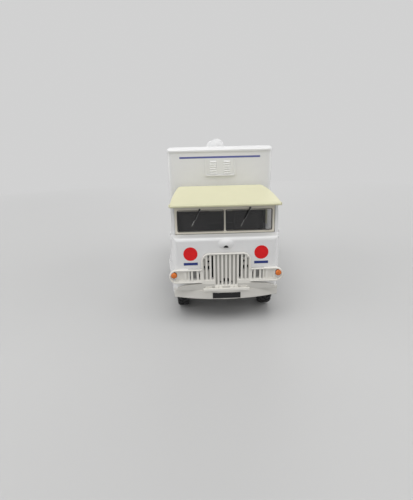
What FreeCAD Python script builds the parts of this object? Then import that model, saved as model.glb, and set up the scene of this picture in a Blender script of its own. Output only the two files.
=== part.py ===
"""Toy ambulance truck: a die-cast forward-control army truck with a box body, about 1:50.

Millimetres. X is the truck's left, Y runs from the nose back to the towing eye, Z is up,
and the origin lies on the ground in the middle of the truck.
"""
import FreeCAD, Part
import math
import os
from collections import namedtuple

import Sketcher
from FreeCAD import Placement, Rotation, Vector

doc = FreeCAD.newDocument("AmbulanceTruck")

# Every size that can be set by itself: name, value, what it is.
SIZES = [
    ("overrun", 2.0, "how far a cutting tool runs past what it cuts"),
    # Running gear
    ("wheelbase", 58.0, "front axle to rear axle"),
    ("front_overhang", 19.0, "face of the grille to the front axle"),
    ("rear_overhang", 25.6, "rear axle to the end of the towing eye"),
    ("tyre_radius", 10.7, "tyre, outside"),
    ("tyre_width", 5.0, "tyre, side to side"),
    ("tyre_shoulder", 0.9, "rounding from tread to side wall"),
    ("tyre_bulge", 0.35, "how far the side wall stands out past the bead"),
    ("rim_radius", 6.6, "rim, where the tyre sits"),
    ("rim_lip", 0.7, "thickness of the rim's edge"),
    ("wheel_inset", 5.6, "middle of a wheel in from the widest part of the wheel arches"),
    ("hub_disc_inset", 1.5, "disc of the wheel behind the rim's edge"),
    ("hub_disc_thick", 1.2, "disc of the wheel"),
    ("hub_boss_radius", 2.3, "boss in the middle of the wheel"),
    ("hub_boss_stand", 1.2, "boss in front of the disc"),
    ("axle_radius", 0.75, "steel axle"),
    ("axle_play", 0.05, "gap round the axle in its tube"),
    ("axle_head_radius", 1.15, "rivet head on the axle's end"),
    ("axle_head_thick", 0.6, "rivet head on the axle's end"),
    # Axle tubes, springs and drive
    ("tube_radius", 1.6, "axle tube"),
    ("tube_short", 3.2, "end of an axle tube to the middle of a wheel"),
    ("diff_radius", 3.8, "bulge of the differential"),
    ("diff_half", 4.0, "half the width of the differential"),
    ("pinion_radius", 1.5, "pinion nose on the differential"),
    ("pinion_reach", 5.0, "pinion nose from the axle's centre"),
    ("spring_half", 11.0, "half the length of a leaf spring"),
    ("spring_in", 0.8, "outer side of a leaf spring in from the axle tube's end"),
    ("spring_wide", 2.4, "width of a leaf spring"),
    ("spring_thick", 1.6, "thickness of a leaf spring at its middle"),
    ("spring_end_thick", 0.8, "thickness of a leaf spring at its eyes"),
    ("spring_sweep", 28.0, "radius of a leaf spring's curve"),
    ("saddle_long", 2.8, "saddle between an axle tube and a leaf spring, along the truck"),
    ("saddle_high", 2.7, "saddle above the axle tube, up into the spring"),
    ("hanger_long", 2.0, "spring hanger along the truck"),
    ("shaft_radius", 0.8, "propeller shaft"),
    ("gearbox_long", 8.0, "transfer gearbox along the truck"),
    ("gearbox_wide", 9.0, "transfer gearbox across the truck"),
    ("gearbox_low_z", 7.6, "underside of the transfer gearbox"),
    ("gearbox_round", 1.2, "rounding of the transfer gearbox"),
    ("gearbox_place", 24.0, "middle of the transfer gearbox behind the front axle"),
    # Frame
    ("rail_inner_x", 7.4, "inner side of a frame rail"),
    ("rail_wide", 1.8, "width of a frame rail"),
    ("rail_low_z", 15.2, "underside of the frame"),
    ("rail_high", 2.8, "height of the frame rails"),
    ("rail_start", 2.9, "front end of the rails behind the grille's face"),
    ("sleeper_inset", 1.6, "box sleepers from the ends of the box floor"),
    ("member_long", 2.2, "cross member along the truck"),
    ("cab_rest_long", 3.0, "cab mounting block along the truck"),
    ("tank_wide", 6.4, "fuel tank across the truck"),
    ("tank_long", 14.0, "fuel tank along the truck"),
    ("tank_high", 6.6, "fuel tank height"),
    ("tank_round", 1.4, "fuel tank corner rounding"),
    ("tank_gap", 1.6, "frame rail to fuel tank, filled by its brackets"),
    ("tank_top_drop", 0.4, "fuel tank top below the top of the rail"),
    ("bracket_long", 1.2, "tank bracket along the truck"),
    ("bracket_high", 1.6, "tank bracket height"),
    ("bracket_apart", 8.0, "tank bracket to tank bracket"),
    ("filler_radius", 1.1, "fuel filler cap"),
    ("filler_stand", 0.6, "fuel filler cap out from the tank"),
    ("filler_drop", 2.0, "middle of the filler cap below the tank's top"),
    ("locker_long", 11.0, "tool locker along the truck"),
    ("locker_round", 0.5, "tool locker corner rounding"),
    ("silencer_x", 5.2, "silencer from the truck's middle"),
    ("silencer_z", 11.9, "height of the silencer and its pipes"),
    ("silencer_radius", 1.7, "silencer"),
    ("silencer_place", 3.6, "silencer behind the gearbox"),
    ("silencer_long", 11.0, "silencer along the truck"),
    ("pipe_radius", 0.6, "exhaust pipes"),
    ("pipe_x", 3.8, "front pipe from the truck's middle"),
    ("tail_pipe_in", 1.7, "tail pipe before the silencer's back end"),
    ("tail_pipe_reach", 20.6, "end of the tail pipe from the truck's middle"),
    ("silencer_strap", 1.2, "strap that holds the silencer, along the truck"),
    # Bumper, valance and number plate
    ("bumper_inset", 2.7, "end of the bumper in from the widest part of the arches"),
    ("bumper_low_z", 11.2, "underside of the bumper"),
    ("bumper_high", 3.7, "height of the bumper"),
    ("bumper_bow", 1.2, "middle of the bumper in front of the grille's face"),
    ("bumper_sweep", 2.5, "ends of the bumper behind the grille's face"),
    ("bumper_thick", 1.6, "thickness of the bumper"),
    ("arm_high", 2.4, "height of the bumper's arms"),
    ("plate_half", 5.6, "half the width of the number plate"),
    ("plate_high", 2.35, "height of the number plate"),
    ("plate_lift", 0.5, "number plate above the bumper's underside"),
    ("plate_stand", 0.2, "number plate in front of the bumper"),
    ("bumper_room", 0.3, "bumper to the cab's nose behind it"),
    ("valance_inset", 0.7, "end of the valance in from the bumper's end"),
    ("valance_tip_z", 16.0, "valance height at its tips"),
    ("valance_shoulder_in", 4.6, "where the valance turns down, in from its end"),
    ("valance_shoulder_z", 17.2, "valance height at its shoulder"),
    ("valance_top_z", 17.7, "valance height beside the grille"),
    ("valance_tip_round", 0.8, "rounding of the valance's tip"),
    ("valance_shoulder_round", 6.0, "rounding of the valance's shoulder"),
    ("ledge_half", 9.2, "half the width of the ledge under the grille"),
    ("ledge_high", 0.45, "height of the ledge under the grille"),
    ("ledge_stand", 0.8, "ledge in front of the grille's face"),
    ("chin_bar_inner", 5.7, "inner end of the raised bar under the grille's side"),
    ("chin_bar_long", 2.8, "raised bar under the grille's side"),
    ("chin_bar_low_z", 15.95, "underside of the raised bar"),
    ("chin_bar_high", 0.35, "height of the raised bar"),
    ("chin_bar_stand", 0.3, "raised bar in front of the valance"),
    # Grille
    ("grille_thick", 1.0, "thickness of the grille"),
    ("grille_half", 9.87, "half the width of the grille's middle"),
    ("grille_low_z", 16.2, "underside of the grille's middle"),
    ("grille_top_z", 30.4, "top of the grille's middle"),
    ("grille_corner", 3.3, "corner radius of the grille's middle"),
    ("wing_inset", 1.2, "end of the grille's wing in from the widest part of the arches"),
    ("wing_low_z", 18.0, "underside of the wings"),
    ("wing_high", 5.75, "height of the wings"),
    ("wing_round", 2.8, "rounding of the wings' ends"),
    ("side_sill_z", 17.4, "underside of the grille beside its dropped middle"),
    ("grille_rim", 0.7, "rim round the grille"),
    ("rim_stand", 0.25, "rim in front of the bars"),
    ("slot_wide", 0.75, "width of a slot"),
    ("slot_margin", 0.9, "outermost slot to the grille's side"),
    ("slot_deep", 0.5, "depth of a slot behind the bars' face, where it is not open"),
    ("slot_sill", 0.7, "height of the sloped sill at a slot's lower end"),
    ("corner_drop", 1.5, "outermost slot's end below the others, for the rounded corner"),
    ("side_slot_low_z", 19.0, "lower end of the side slots"),
    ("centre_slot_low_z", 16.65, "lower end of the centre slots"),
    ("chin_rim", 0.35, "rim at the sides of the dropped middle"),
    ("wing_rim", 0.55, "rim round the lamp wings"),
    ("wing_slot_first", 0.85, "middle of the first wing slot beside the grille's middle"),
    ("wing_slot_broad_out", 2.7, "middle of the broad wing slot beside the grille's middle"),
    ("wing_slot_third", 4.53, "middle of the third wing slot beside the grille's middle"),
    ("wing_slot_last", 5.68, "middle of the last wing slot beside the grille's middle"),
    ("wing_slot_thin", 0.5, "width of a narrow wing slot"),
    ("wing_slot_broad", 1.4, "width of the broad wing slot"),
    ("wing_window_in", 3.5, "outer end of the wing's wide window in from the wing's end"),
    ("wing_window_wide", 2.8, "wing's wide window"),
    ("window_rim", 0.35, "rim round the wing's wide window"),
    ("wing_bar", 0.35, "bar between the wing's window and its lamp recess"),
    ("lamp_radius", 2.3, "headlamp"),
    ("lamp_out", 3.13, "headlamp beside the grille's middle"),
    ("lamp_play", 0.3, "gap round the headlamp"),
    ("lamp_long", 2.6, "headlamp bowl from front to back"),
    ("lamp_back_radius", 1.2, "back end of the headlamp bowl"),
    ("indicator_in", 1.9, "indicator in from the wing's end"),
    ("indicator_radius", 1.15, "indicator lens"),
    ("indicator_stand", 0.55, "indicator in front of the bars' face"),
    ("indicator_raise", 0.7, "indicator above the middle of the wing"),
    ("bulge_radius", 2.5, "round bulge on the nose"),
    ("bulge_up", 2.55, "middle of the bulge above the grille"),
    ("bulge_set", 0.2, "bulge set into the nose, where the nose's top rounds off"),
    ("bulge_stand", 0.6, "middle of the bulge in front of the nose"),
    ("boss_recess_half", 1.0, "half the width of the half-round recess in the bulge"),
    ("boss_recess_down", 0.5, "half-round recess below the middle of the bulge"),
    ("boss_recess_deep", 0.6, "depth of the recess behind the bulge's middle"),
    # Cab shell
    ("cab_long", 30.0, "face of the grille to the back of the cab"),
    ("cab_wall", 1.2, "cab wall"),
    ("waist_half", 21.7, "half the width of the cab over the arches"),
    ("foot_inset", 0.1, "cab's foot in from the waist"),
    ("cab_foot_z", 11.0, "lower edge of the cab before the wheels"),
    ("cab_back_foot_z", 18.0, "lower edge of the cab behind the wheels"),
    ("flare_stand", 2.3, "wheel arches out past the waist"),
    ("flare_low_z", 13.4, "where the arches are widest, lower end"),
    ("flare_top_z", 22.6, "where the arches are widest, upper end"),
    ("flare_round", 6.0, "rounding of the arches in the front view"),
    ("waist_z", 31.7, "top of the arches' slope"),
    ("waist_round", 8.0, "rounding above the arches' slope"),
    ("door_inset", 0.5, "door tops in from the waist"),
    ("nose_inset", 1.5, "nose's face in from the waist"),
    ("nose_corner", 1.6, "upright corners of the nose"),
    ("cheek_deep", 3.0, "nose's face to the cab's full upper width"),
    ("cheek_round", 3.0, "rounding where the nose meets the side"),
    ("flare_deep", 12.0, "nose's face to the arches' full width"),
    ("flare_plan_round", 9.0, "rounding of the arches seen from above"),
    ("brow_z", 36.3, "top of the nose's face"),
    ("brow_round", 1.5, "rounding along the top of the nose"),
    ("cowl_z", 36.9, "top of the cowl under the windscreen"),
    ("cowl_deep", 4.3, "nose's face to the windscreen posts"),
    ("post_lean", 0.9, "how far the windscreen leans back over its height"),
    ("post_z", 48.3, "top of the windscreen posts"),
    ("post_deep", 1.4, "windscreen post from front to back"),
    ("post_wide", 1.1, "windscreen post across"),
    ("sill_z", 33.5, "top of the cab doors"),
    ("gusset_round", 5.5, "curve at the front of the door top"),
    ("quarter_long", 5.6, "back end of the door top before the cab's back"),
    ("quarter_round", 1.6, "curve at the back of the door top"),
    ("quarter_z", 36.0, "top of the cab behind the doors"),
    ("cab_floor_z", 24.0, "top of the cab floor"),
    ("arch_gap", 1.3, "tyre to wheel arch"),
    ("groove_deep", 0.25, "depth of the lines in the cab's sides"),
    ("groove_wide", 0.3, "width of the lines in the cab's sides"),
    ("door_front", 0.3, "front line of the cab door behind the windscreen post"),
    ("door_back", 0.6, "back line of the cab door behind the door top's end"),
    ("door_low", 1.8, "lower line of the cab door above the wheel arch"),
    ("door_round", 1.6, "lower corners of the cab door"),
    ("arch_lip", 0.8, "edge of the wheel arch to the line round it"),
    ("cab_handle_long", 2.2, "cab door handle"),
    ("cab_handle_high", 0.5, "height of the cab door handle"),
    ("cab_handle_stand", 0.5, "cab door handle out from the cab's waist"),
    ("cab_handle_in", 1.0, "cab door handle from the door's back line"),
    ("cab_handle_drop", 1.9, "cab door handle below the door's top"),
    ("lug_radius", 0.65, "hinge lug beside the windscreen"),
    ("lug_stand", 0.7, "hinge lug out from the cab side"),
    ("lug_low_z", 34.9, "lower hinge lug"),
    ("lug_high_z", 37.6, "upper hinge lug"),
    # Windscreen and wipers
    ("screen_gap", 0.2, "windscreen frame to the posts"),
    ("screen_lift", 0.12, "windscreen frame above the cowl"),
    ("screen_set", 0.22, "windscreen frame behind the front of the posts"),
    ("screen_rise", 0.5, "windscreen frame above the posts"),
    ("screen_thick", 0.9, "thickness of the windscreen frame"),
    ("screen_rail", 1.1, "frame round the windscreen panes"),
    ("screen_top_rail", 1.9, "frame above the windscreen panes"),
    ("screen_post", 1.0, "post between the windscreen panes"),
    ("screen_round", 0.5, "corner radius of the windscreen panes"),
    ("pane_thick", 0.4, "thickness of a pane"),
    ("wiper_long", 8.2, "wiper arm and blade"),
    ("wiper_wide", 0.35, "width of a wiper"),
    ("wiper_left_turn", 27.0, "lean of the left wiper in degrees"),
    ("wiper_right_turn", 40.0, "lean of the right wiper in degrees"),
    ("wiper_stand", 0.15, "wiper clear of the pane"),
    ("wiper_left_x", 10.1, "upper end of the left wiper"),
    ("wiper_right_x", 7.6, "upper end of the right wiper"),
    # Cab inside
    ("cover_half", 5.2, "half the width of the engine cover"),
    ("cover_high", 7.0, "engine cover above the floor"),
    ("cover_long", 18.0, "engine cover along the truck"),
    ("cover_round", 1.6, "rounding of the engine cover"),
    ("seat_wide", 11.0, "seat across the truck"),
    ("seat_gap", 1.2, "seat from the engine cover"),
    ("seat_base_high", 6.5, "seat cushion's top above the floor"),
    ("seat_deep", 10.0, "seat along the truck"),
    ("seat_back_high", 17.0, "seat back's top above the floor"),
    ("seat_back_thick", 2.4, "seat back"),
    ("seat_round", 1.2, "rounding of the seat"),
    ("dash_high", 5.0, "dashboard height"),
    ("dash_deep", 3.0, "dashboard from front to back"),
    ("dash_round", 1.0, "rounding of the dashboard"),
    ("dash_drop", 1.1, "dashboard top below the underside of the nose"),
    ("steer_radius", 4.0, "steering wheel"),
    ("steer_rim", 0.45, "steering wheel rim's radius"),
    ("steer_x", 11.6, "steering wheel from the truck's middle"),
    ("steer_gap", 4.0, "dashboard to the steering wheel's middle"),
    ("steer_rise", 1.0, "steering wheel's middle above the dashboard's middle"),
    ("steer_lean", 35.0, "lean of the steering wheel in degrees"),
    ("steer_hub_radius", 1.0, "middle of the steering wheel"),
    ("column_radius", 0.6, "steering column"),
    ("spoke_wide", 0.8, "steering wheel spoke"),
    # Cab top
    ("top_inset", 0.1, "cab top's sides in from the door tops"),
    ("top_seat", 0.1, "lower edge of the cab top above the posts"),
    ("top_front", 1.6, "front edge of the cab top behind the grille's face"),
    ("top_lip_high", 1.1, "height of the front edge"),
    ("top_rise", 5.3, "highest line of the cab top above its lower edge"),
    ("top_peak_long", 3.5, "highest line before the cab's back"),
    ("top_fall", 0.6, "back edge of the cab top's roof below its highest line"),
    ("top_bead", 0.25, "bead along the cab top's lower edge, out from its sides"),
    ("top_shoulder", 4.0, "rounding along the cab top's sides"),
    ("top_crown_round", 1.6, "rounding along the cab top's back"),
    ("top_wall", 1.0, "cab top's wall"),
    ("top_quarter_long", 4.8, "front edge of the cab top's rear quarter before the cab's back"),
    ("top_quarter_round", 3.0, "curve at the top of the side opening"),
    ("back_light_half", 6.0, "half the width of the rear window"),
    ("back_light_high", 5.0, "height of the rear window"),
    ("back_light_z", 41.5, "lower edge of the rear window"),
    ("back_light_round", 1.2, "corner radius of the rear window"),
    # Box body
    ("box_gap", 2.0, "cab to box"),
    ("box_half", 24.06, "half the width of the box"),
    ("box_low_z", 23.2, "underside of the box"),
    ("box_eaves_z", 68.3, "top of the box walls"),
    ("box_wall", 1.2, "box wall"),
    ("box_corner", 2.0, "upright corners of the box"),
    ("box_rear_inset", 1.6, "box wall's rear end before the towing eye's end"),
    ("roof_rise", 2.2, "top of the box roof above the walls"),
    ("roof_overhang", 0.35, "roof's edge out from the walls"),
    ("roof_edge_high", 0.7, "upright edge of the roof"),
    ("roof_corner", 2.2, "corners of the roof seen from above"),
    ("roof_chamfer", 1.6, "slope along the roof's edges, across"),
    ("roof_wall", 1.0, "thickness of the box roof"),
    ("window_wide", 10.0, "side window"),
    ("window_high", 7.0, "side window"),
    ("window_drop", 8.8, "top of the side windows below the top of the walls"),
    ("pane_inset", 0.4, "window pane behind the wall's outside"),
    ("window_round", 1.2, "corner radius of the windows"),
    ("surround_wide", 0.7, "raised frame round a side window"),
    ("strip_stand", 0.22, "raised frames and strips out from the box side"),
    ("strip_high", 0.8, "height of a strip along the box side"),
    ("strip_up", 2.4, "lower strip above the underside of the box"),
    ("strip_apart", 20.0, "lower strip to the strip under the windows"),
    ("strip_inset", 2.4, "strips from the ends of the box side"),
    ("window_first", 18.0, "box front to the middle of the first side window"),
    ("window_pitch", 30.0, "side window to side window"),
    ("vent_half", 7.0, "half the width of the front vent"),
    ("vent_drop", 3.0, "top of the front vent below the top of the walls"),
    ("vent_high", 7.75, "height of the front vent"),
    ("vent_thick", 0.9, "front vent in front of the box"),
    ("vent_round", 1.2, "lower corners of the front vent"),
    ("vent_rim", 0.55, "rim at the sides and foot of the vent"),
    ("vent_sunk", 0.4, "vent's face behind its rim"),
    ("louvre_inner_x", 1.65, "inner end of a louvre"),
    ("louvre_wide", 3.0, "width of a louvre"),
    ("louvre_pitch", 1.0, "louvre to louvre"),
    ("louvre_high", 0.7, "height of a louvre"),
    ("louvre_stand", 0.35, "lower edge of a louvre in front of the vent's face"),
    ("louvre_first", 1.1, "lower edge of the vent to the first louvre"),
    ("dome_place", 66.0, "roof ventilator behind the grille's face"),
    ("dome_radius", 4.0, "main dome of the roof ventilator"),
    ("dome_high", 4.4, "main dome above the roof"),
    ("dome_x", 0.48, "middle of the main dome to the left of the truck's middle"),
    ("lobe_radius", 3.1, "smaller dome of the roof ventilator"),
    ("lobe_high", 3.6, "smaller dome above the roof"),
    ("lobe_x", 1.95, "middle of the smaller dome to the right of the truck's middle"),
    ("lobe_back", 1.0, "smaller dome behind the main one"),
    # Rear doors
    ("door_gap", 0.2, "gap round a rear door"),
    ("door_thick", 1.2, "rear door"),
    ("door_proud", 0.1, "rear door's face behind the wall's end"),
    ("hinge_x_inset", 0.9, "hinge pin in from the box side"),
    ("hinge_stand", 0.65, "hinge pin behind the door's face"),
    ("knuckle_radius", 0.55, "hinge knuckle"),
    ("knuckle_high", 2.4, "hinge knuckle on the door"),
    ("pin_radius", 0.28, "hinge pin"),
    ("pin_play", 0.06, "gap round the hinge pin"),
    ("lug_high", 1.0, "hinge lug on the box"),
    ("lug_gap", 0.1, "hinge lug to knuckle"),
    ("hinge_low", 7.0, "lower hinge above the door's lower edge"),
    ("hinge_high", 8.5, "lower end of the upper hinge below the door's upper edge"),
    ("strap_long", 7.0, "hinge strap across the door"),
    ("strap_thick", 0.4, "hinge strap"),
    ("door_window_half", 4.6, "half the width of a rear door's window"),
    ("door_window_high", 8.0, "height of a rear door's window"),
    ("handle_long", 4.0, "door handle"),
    ("handle_thick", 0.5, "door handle"),
    ("handle_stand", 0.5, "door handle clear of the door"),
    ("handle_up", 18.0, "door handle above the door's lower edge"),
    ("handle_in", 1.4, "door handle from the door's free edge"),
    # Rear end
    ("beam_inset", 3.06, "end of the rear beam in from the box side"),
    ("beam_low_z", 17.2, "underside of the rear beam"),
    ("beam_high", 3.6, "height of the rear beam"),
    ("beam_thick", 1.5, "rear beam"),
    ("tail_lamp_radius", 1.2, "rear lamp"),
    ("tail_lamp_long", 1.0, "rear lamp"),
    ("tail_lamp_in", 2.6, "rear lamp in from the beam's end"),
    ("eye_radius", 2.2, "towing eye, outside"),
    ("eye_bore", 1.1, "towing eye, bore"),
    ("eye_thick", 1.2, "towing eye"),
    ("eye_z", 17.6, "underside of the towing eye"),
    ("eye_arm_half", 1.4, "half the width of the towing eye's arm"),
    ("guard_thick", 0.8, "rear mudguard"),
    ("guard_reach", 0.5, "mudguard in past the tyre's inner side"),
    ("guard_inset", 0.66, "mudguard in from the box side"),
    ("guard_drop", 8.6, "mudguard's ends below the box"),
    ("step_half", 12.0, "half the width of the rear step"),
    ("step_thick", 0.8, "rear step"),
    ("step_deep", 4.4, "rear step from front to back"),
    ("step_drop", 6.0, "rear step below the beam's underside"),
    ("step_arm", 1.0, "width of the rear step's arms"),
]


class Size:
    """A length worked out from the sheet: its value now, and the formula that gives it."""

    def __init__(self, value, formula):
        self.value = value
        self.formula = formula

    def __add__(self, other):
        other = size(other)
        return Size(self.value + other.value, f"({self.formula} + {other.formula})")

    def __sub__(self, other):
        other = size(other)
        return Size(self.value - other.value, f"({self.formula} - {other.formula})")

    def __mul__(self, other):
        other = size(other)
        return Size(self.value * other.value, f"({self.formula} * {other.formula})")

    def __truediv__(self, other):
        other = size(other)
        return Size(self.value / other.value, f"({self.formula} / {other.formula})")

    def __neg__(self):
        return Size(-self.value, f"(0 - {self.formula})")

    __radd__ = __add__
    __rmul__ = __mul__


def size(value):
    """The value itself when it is a Size already, or else a plain number made into one."""
    return value if isinstance(value, Size) else Size(value, str(value))


class Sheet:
    """The driving dimensions: a spreadsheet of plain numbers, read here by name."""

    def __init__(self, rows):
        cells = doc.addObject("Spreadsheet::Sheet", "Sizes")
        self.values = {}
        for row, (name, value, meaning) in enumerate(rows, start=1):
            cells.set(f"A{row}", meaning)
            cells.set(f"B{row}", str(value))
            cells.setAlias(f"B{row}", name)
            self.values[name] = value

    def __getattr__(self, name):
        return Size(self.values[name], "Sizes." + name)


S = Sheet(SIZES)
doc.recompute()

# How many of what repeats.
SLOTS_A_SIDE = 6
SHORT_SLOTS = 3
LOUVRES = 6
SIDE_WINDOWS = 2
SPOKES = 3

# Where the grille's slots are open right through, by the slot's number out from the middle:
# lower and upper end as shares of the grille's height, and width as a share of the slot.
OPEN_SHARES = {
    0: ((0.093, 0.233, 0.9),),
    1: ((0.053, 0.151, 0.6),),
    3: ((0.232, 0.912, 1.0),),
    4: ((0.491, 0.622, 1.0), (0.693, 0.775, 1.0), (0.862, 0.899, 1.0)),
    5: ((0.518, 0.62, 0.6),),
}

# Places along the truck, half widths and heights that several pieces share.
LENGTH = S.plate_stand + S.bumper_bow + S.front_overhang + S.wheelbase + S.rear_overhang
FRONT = -LENGTH / 2
REAR = LENGTH / 2
NOSE = FRONT + S.plate_stand + S.bumper_bow
SKIN = NOSE + S.grille_thick
CAB_BACK = NOSE + S.cab_long
FRONT_AXLE = NOSE + S.front_overhang
REAR_AXLE = FRONT_AXLE + S.wheelbase
BOX_FRONT = CAB_BACK + S.box_gap
BOX_REAR = REAR - S.box_rear_inset
FLARE_HALF = S.waist_half + S.flare_stand
FOOT_HALF = S.waist_half - S.foot_inset
DOOR_HALF = S.waist_half - S.door_inset
NOSE_HALF = S.waist_half - S.nose_inset
POST_INNER = DOOR_HALF - S.post_wide
WING_HALF = FLARE_HALF - S.wing_inset
WHEEL_X = FLARE_HALF - S.wheel_inset
TUBE_HALF = WHEEL_X - S.tube_short
SPRING_OUTER = TUBE_HALF - S.spring_in
LAMP_X = S.grille_half + S.lamp_out
AXLE_Z = S.tyre_radius
RAIL_TOP = S.rail_low_z + S.rail_high
RAIL_START = NOSE + S.rail_start
RAIL_OUTER = S.rail_inner_x + S.rail_wide
BUMPER_TOP = S.bumper_low_z + S.bumper_high
WING_TOP = S.wing_low_z + S.wing_high
WING_MIDDLE = S.wing_low_z + S.wing_high / 2
SLOT_PITCH = ((S.grille_half - S.slot_margin) * 2 - S.slot_wide) / (SLOTS_A_SIDE * 2 - 1)
CHIN_HALF = SLOT_PITCH * SHORT_SLOTS
POST_FRONT = SKIN + S.cowl_deep
TOP_LIP_Z = S.post_z + S.top_seat
ROOF_TOP_Z = S.box_eaves_z + S.roof_rise
WINDOW_TOP_Z = S.box_eaves_z - S.window_drop
ROOF_HALF = S.box_half + S.roof_overhang
GEARBOX_MIDDLE = FRONT_AXLE + S.gearbox_place
ARCH_RADIUS = S.tyre_radius + S.arch_gap
GUARD_RADIUS = S.box_low_z - AXLE_Z + S.guard_thick / 2
BEAM_BACK = REAR - S.eye_radius * 2
BEAM_TOP = S.beam_low_z + S.beam_high
ZERO = size(0)

PLACES = {"Placement.Base.x": "x", "Placement.Base.y": "y", "Placement.Base.z": "z"}
nodes = []
cuts = []

# A point that the edge between its neighbours in an outline bows through.
Through = namedtuple("Through", "across up")


def bind(thing, place, value):
    """Ties one property of an object to the sheet."""
    thing.setExpression(place, size(value).formula)


def move(thing, place):
    """Puts an object's own origin at a place worked out from the sheet."""
    for target, value in zip(PLACES, place):
        bind(thing, target, value)
    return thing


def node(label, thing):
    """Names a finished sub-part."""
    thing.Label = label
    nodes.append(thing)
    return thing


def block(name, across, along, up):
    """A box from its low and high ends in each direction."""
    solid = doc.addObject("Part::Box", name)
    for side, (low, high) in zip(("Length", "Width", "Height"), (across, along, up)):
        bind(solid, side, high - low)
    return move(solid, (across[0], along[0], up[0]))


def rod(name, axis, centre, radius, low, high):
    """A cylinder along one axis, round a centre given in the other two."""
    solid = doc.addObject("Part::Cylinder", name)
    bind(solid, "Radius", radius)
    bind(solid, "Height", high - low)
    first, second = centre
    if axis == "X":
        solid.Placement = Placement(Vector(), Rotation(Vector(0, 1, 0), 90))
        return move(solid, (low, first, second))
    if axis == "Y":
        solid.Placement = Placement(Vector(), Rotation(Vector(1, 0, 0), -90))
        return move(solid, (first, low, second))
    return move(solid, (first, second, low))


def cut(name, base, *tools):
    """The base without its tools."""
    result = doc.addObject("Part::Cut", name)
    result.Base = base
    result.Tool = tools[0] if len(tools) == 1 else fuse(name + "Tools", *tools)
    return result


def fuse(name, *pieces):
    """Several pieces made into one."""
    result = doc.addObject("Part::MultiFuse", name)
    result.Shapes = list(pieces)
    return result


def common(name, *pieces):
    """What several pieces have in common."""
    result = doc.addObject("Part::MultiCommon", name)
    result.Shapes = list(pieces)
    return result


def group(name, *pieces):
    """Separate solids kept together as one sub-part."""
    result = doc.addObject("Part::Compound", name)
    result.Links = list(pieces)
    return result


def mirror(name, thing):
    """The same piece on the other side of the truck."""
    result = doc.addObject("Part::Mirroring", name)
    result.Source = thing
    result.Normal = Vector(1, 0, 0)
    return result


def flipped(point):
    """A point of an outline on the other side of the truck."""
    if isinstance(point, Through):
        return Through(-point.across, point.up)
    return (-point[0],) + tuple(point[1:])


def both_sides(points):
    """An outline's right half and its mirror image."""
    return points + [flipped(point) for point in reversed(points)]


def corner_arc(before, point, after, radius):
    """Where a rounded corner leaves its two lines, and the centre of its arc."""
    back = (before - point).normalize()
    ahead = (after - point).normalize()
    half_turn = math.acos(max(-1.0, min(1.0, back.dot(ahead)))) / 2
    reach = radius / math.tan(half_turn)
    centre = point + (back + ahead).normalize() * (radius / math.sin(half_turn))
    return point + back * reach, point + ahead * reach, centre


def pin_point(sketch, geometry, position, across, up):
    """Holds a point of a sketch at its place from the sheet."""
    for kind, value in (("DistanceX", size(across)), ("DistanceY", size(up))):
        rule = sketch.addConstraint(Sketcher.Constraint(kind, -1, 1, geometry, position, value.value))
        sketch.setExpression(f"Constraints[{rule}]", value.formula)


def draw_bow(sketch, start, bow, end):
    """An arc from start to end through a named point; gives its number and which end comes first."""
    middle = Vector(size(bow.across).value, size(bow.up).value, 0)
    curve = Part.Arc(start, middle, end)
    arc = sketch.addGeometry(curve, False)
    mark = sketch.addGeometry(Part.Point(middle), True)
    sketch.addConstraint(Sketcher.Constraint("PointOnObject", mark, 1, arc))
    pin_point(sketch, mark, 1, bow.across, bow.up)
    forward = sketch.getPoint(arc, 1).distanceToPoint(start) < sketch.getPoint(arc, 2).distanceToPoint(start)
    return (arc, 1, 2) if forward else (arc, 2, 1)


def draw_outline(sketch, points):
    """One closed outline: a third number rounds a corner, a Through bows the edge between its neighbours."""
    stops = [point for point in points if not isinstance(point, Through)]
    bows = {stops.index(points[number - 1]): point
            for number, point in enumerate(points) if isinstance(point, Through)}
    flat = [Vector(size(point[0]).value, size(point[1]).value, 0) for point in stops]
    corners = []
    for number, point in enumerate(stops):
        if len(point) == 2:
            corners.append((flat[number], flat[number], None))
        else:
            after = flat[(number + 1) % len(stops)]
            corners.append(corner_arc(flat[number - 1], flat[number], after, point[2].value))
    edges = []
    for number, (_, leaving, _) in enumerate(corners):
        arriving = corners[(number + 1) % len(stops)][0]
        if number in bows:
            edges.append(draw_bow(sketch, leaving, bows[number], arriving))
        else:
            edges.append((sketch.addGeometry(Part.LineSegment(leaving, arriving), False), 1, 2))
    for number, point in enumerate(stops):
        before, _, before_end = edges[number - 1]
        after, after_start, _ = edges[number]
        start, end, centre = corners[number]
        if centre is None:
            sketch.addConstraint(Sketcher.Constraint("Coincident", before, before_end, after, after_start))
            pin_point(sketch, after, after_start, point[0], point[1])
            continue
        first = start - centre
        last = end - centre
        leftward = first.cross(last).z > 0
        angles = [math.atan2(way.y, way.x) for way in ((first, last) if leftward else (last, first))]
        circle = Part.Circle(centre, Vector(0, 0, 1), point[2].value)
        arc = sketch.addGeometry(Part.ArcOfCircle(circle, *angles), False)
        sketch.addConstraint(Sketcher.Constraint("Tangent", before, 2, arc, 1 if leftward else 2))
        sketch.addConstraint(Sketcher.Constraint("Tangent", arc, 2 if leftward else 1, after, 1))
        rule = sketch.addConstraint(Sketcher.Constraint("Radius", arc, point[2].value))
        sketch.setExpression(f"Constraints[{rule}]", point[2].formula)
        mark = sketch.addGeometry(Part.Point(flat[number]), True)
        sketch.addConstraint(Sketcher.Constraint("PointOnObject", mark, 1, before))
        sketch.addConstraint(Sketcher.Constraint("PointOnObject", mark, 1, after))
        pin_point(sketch, mark, 1, point[0], point[1])


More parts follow.
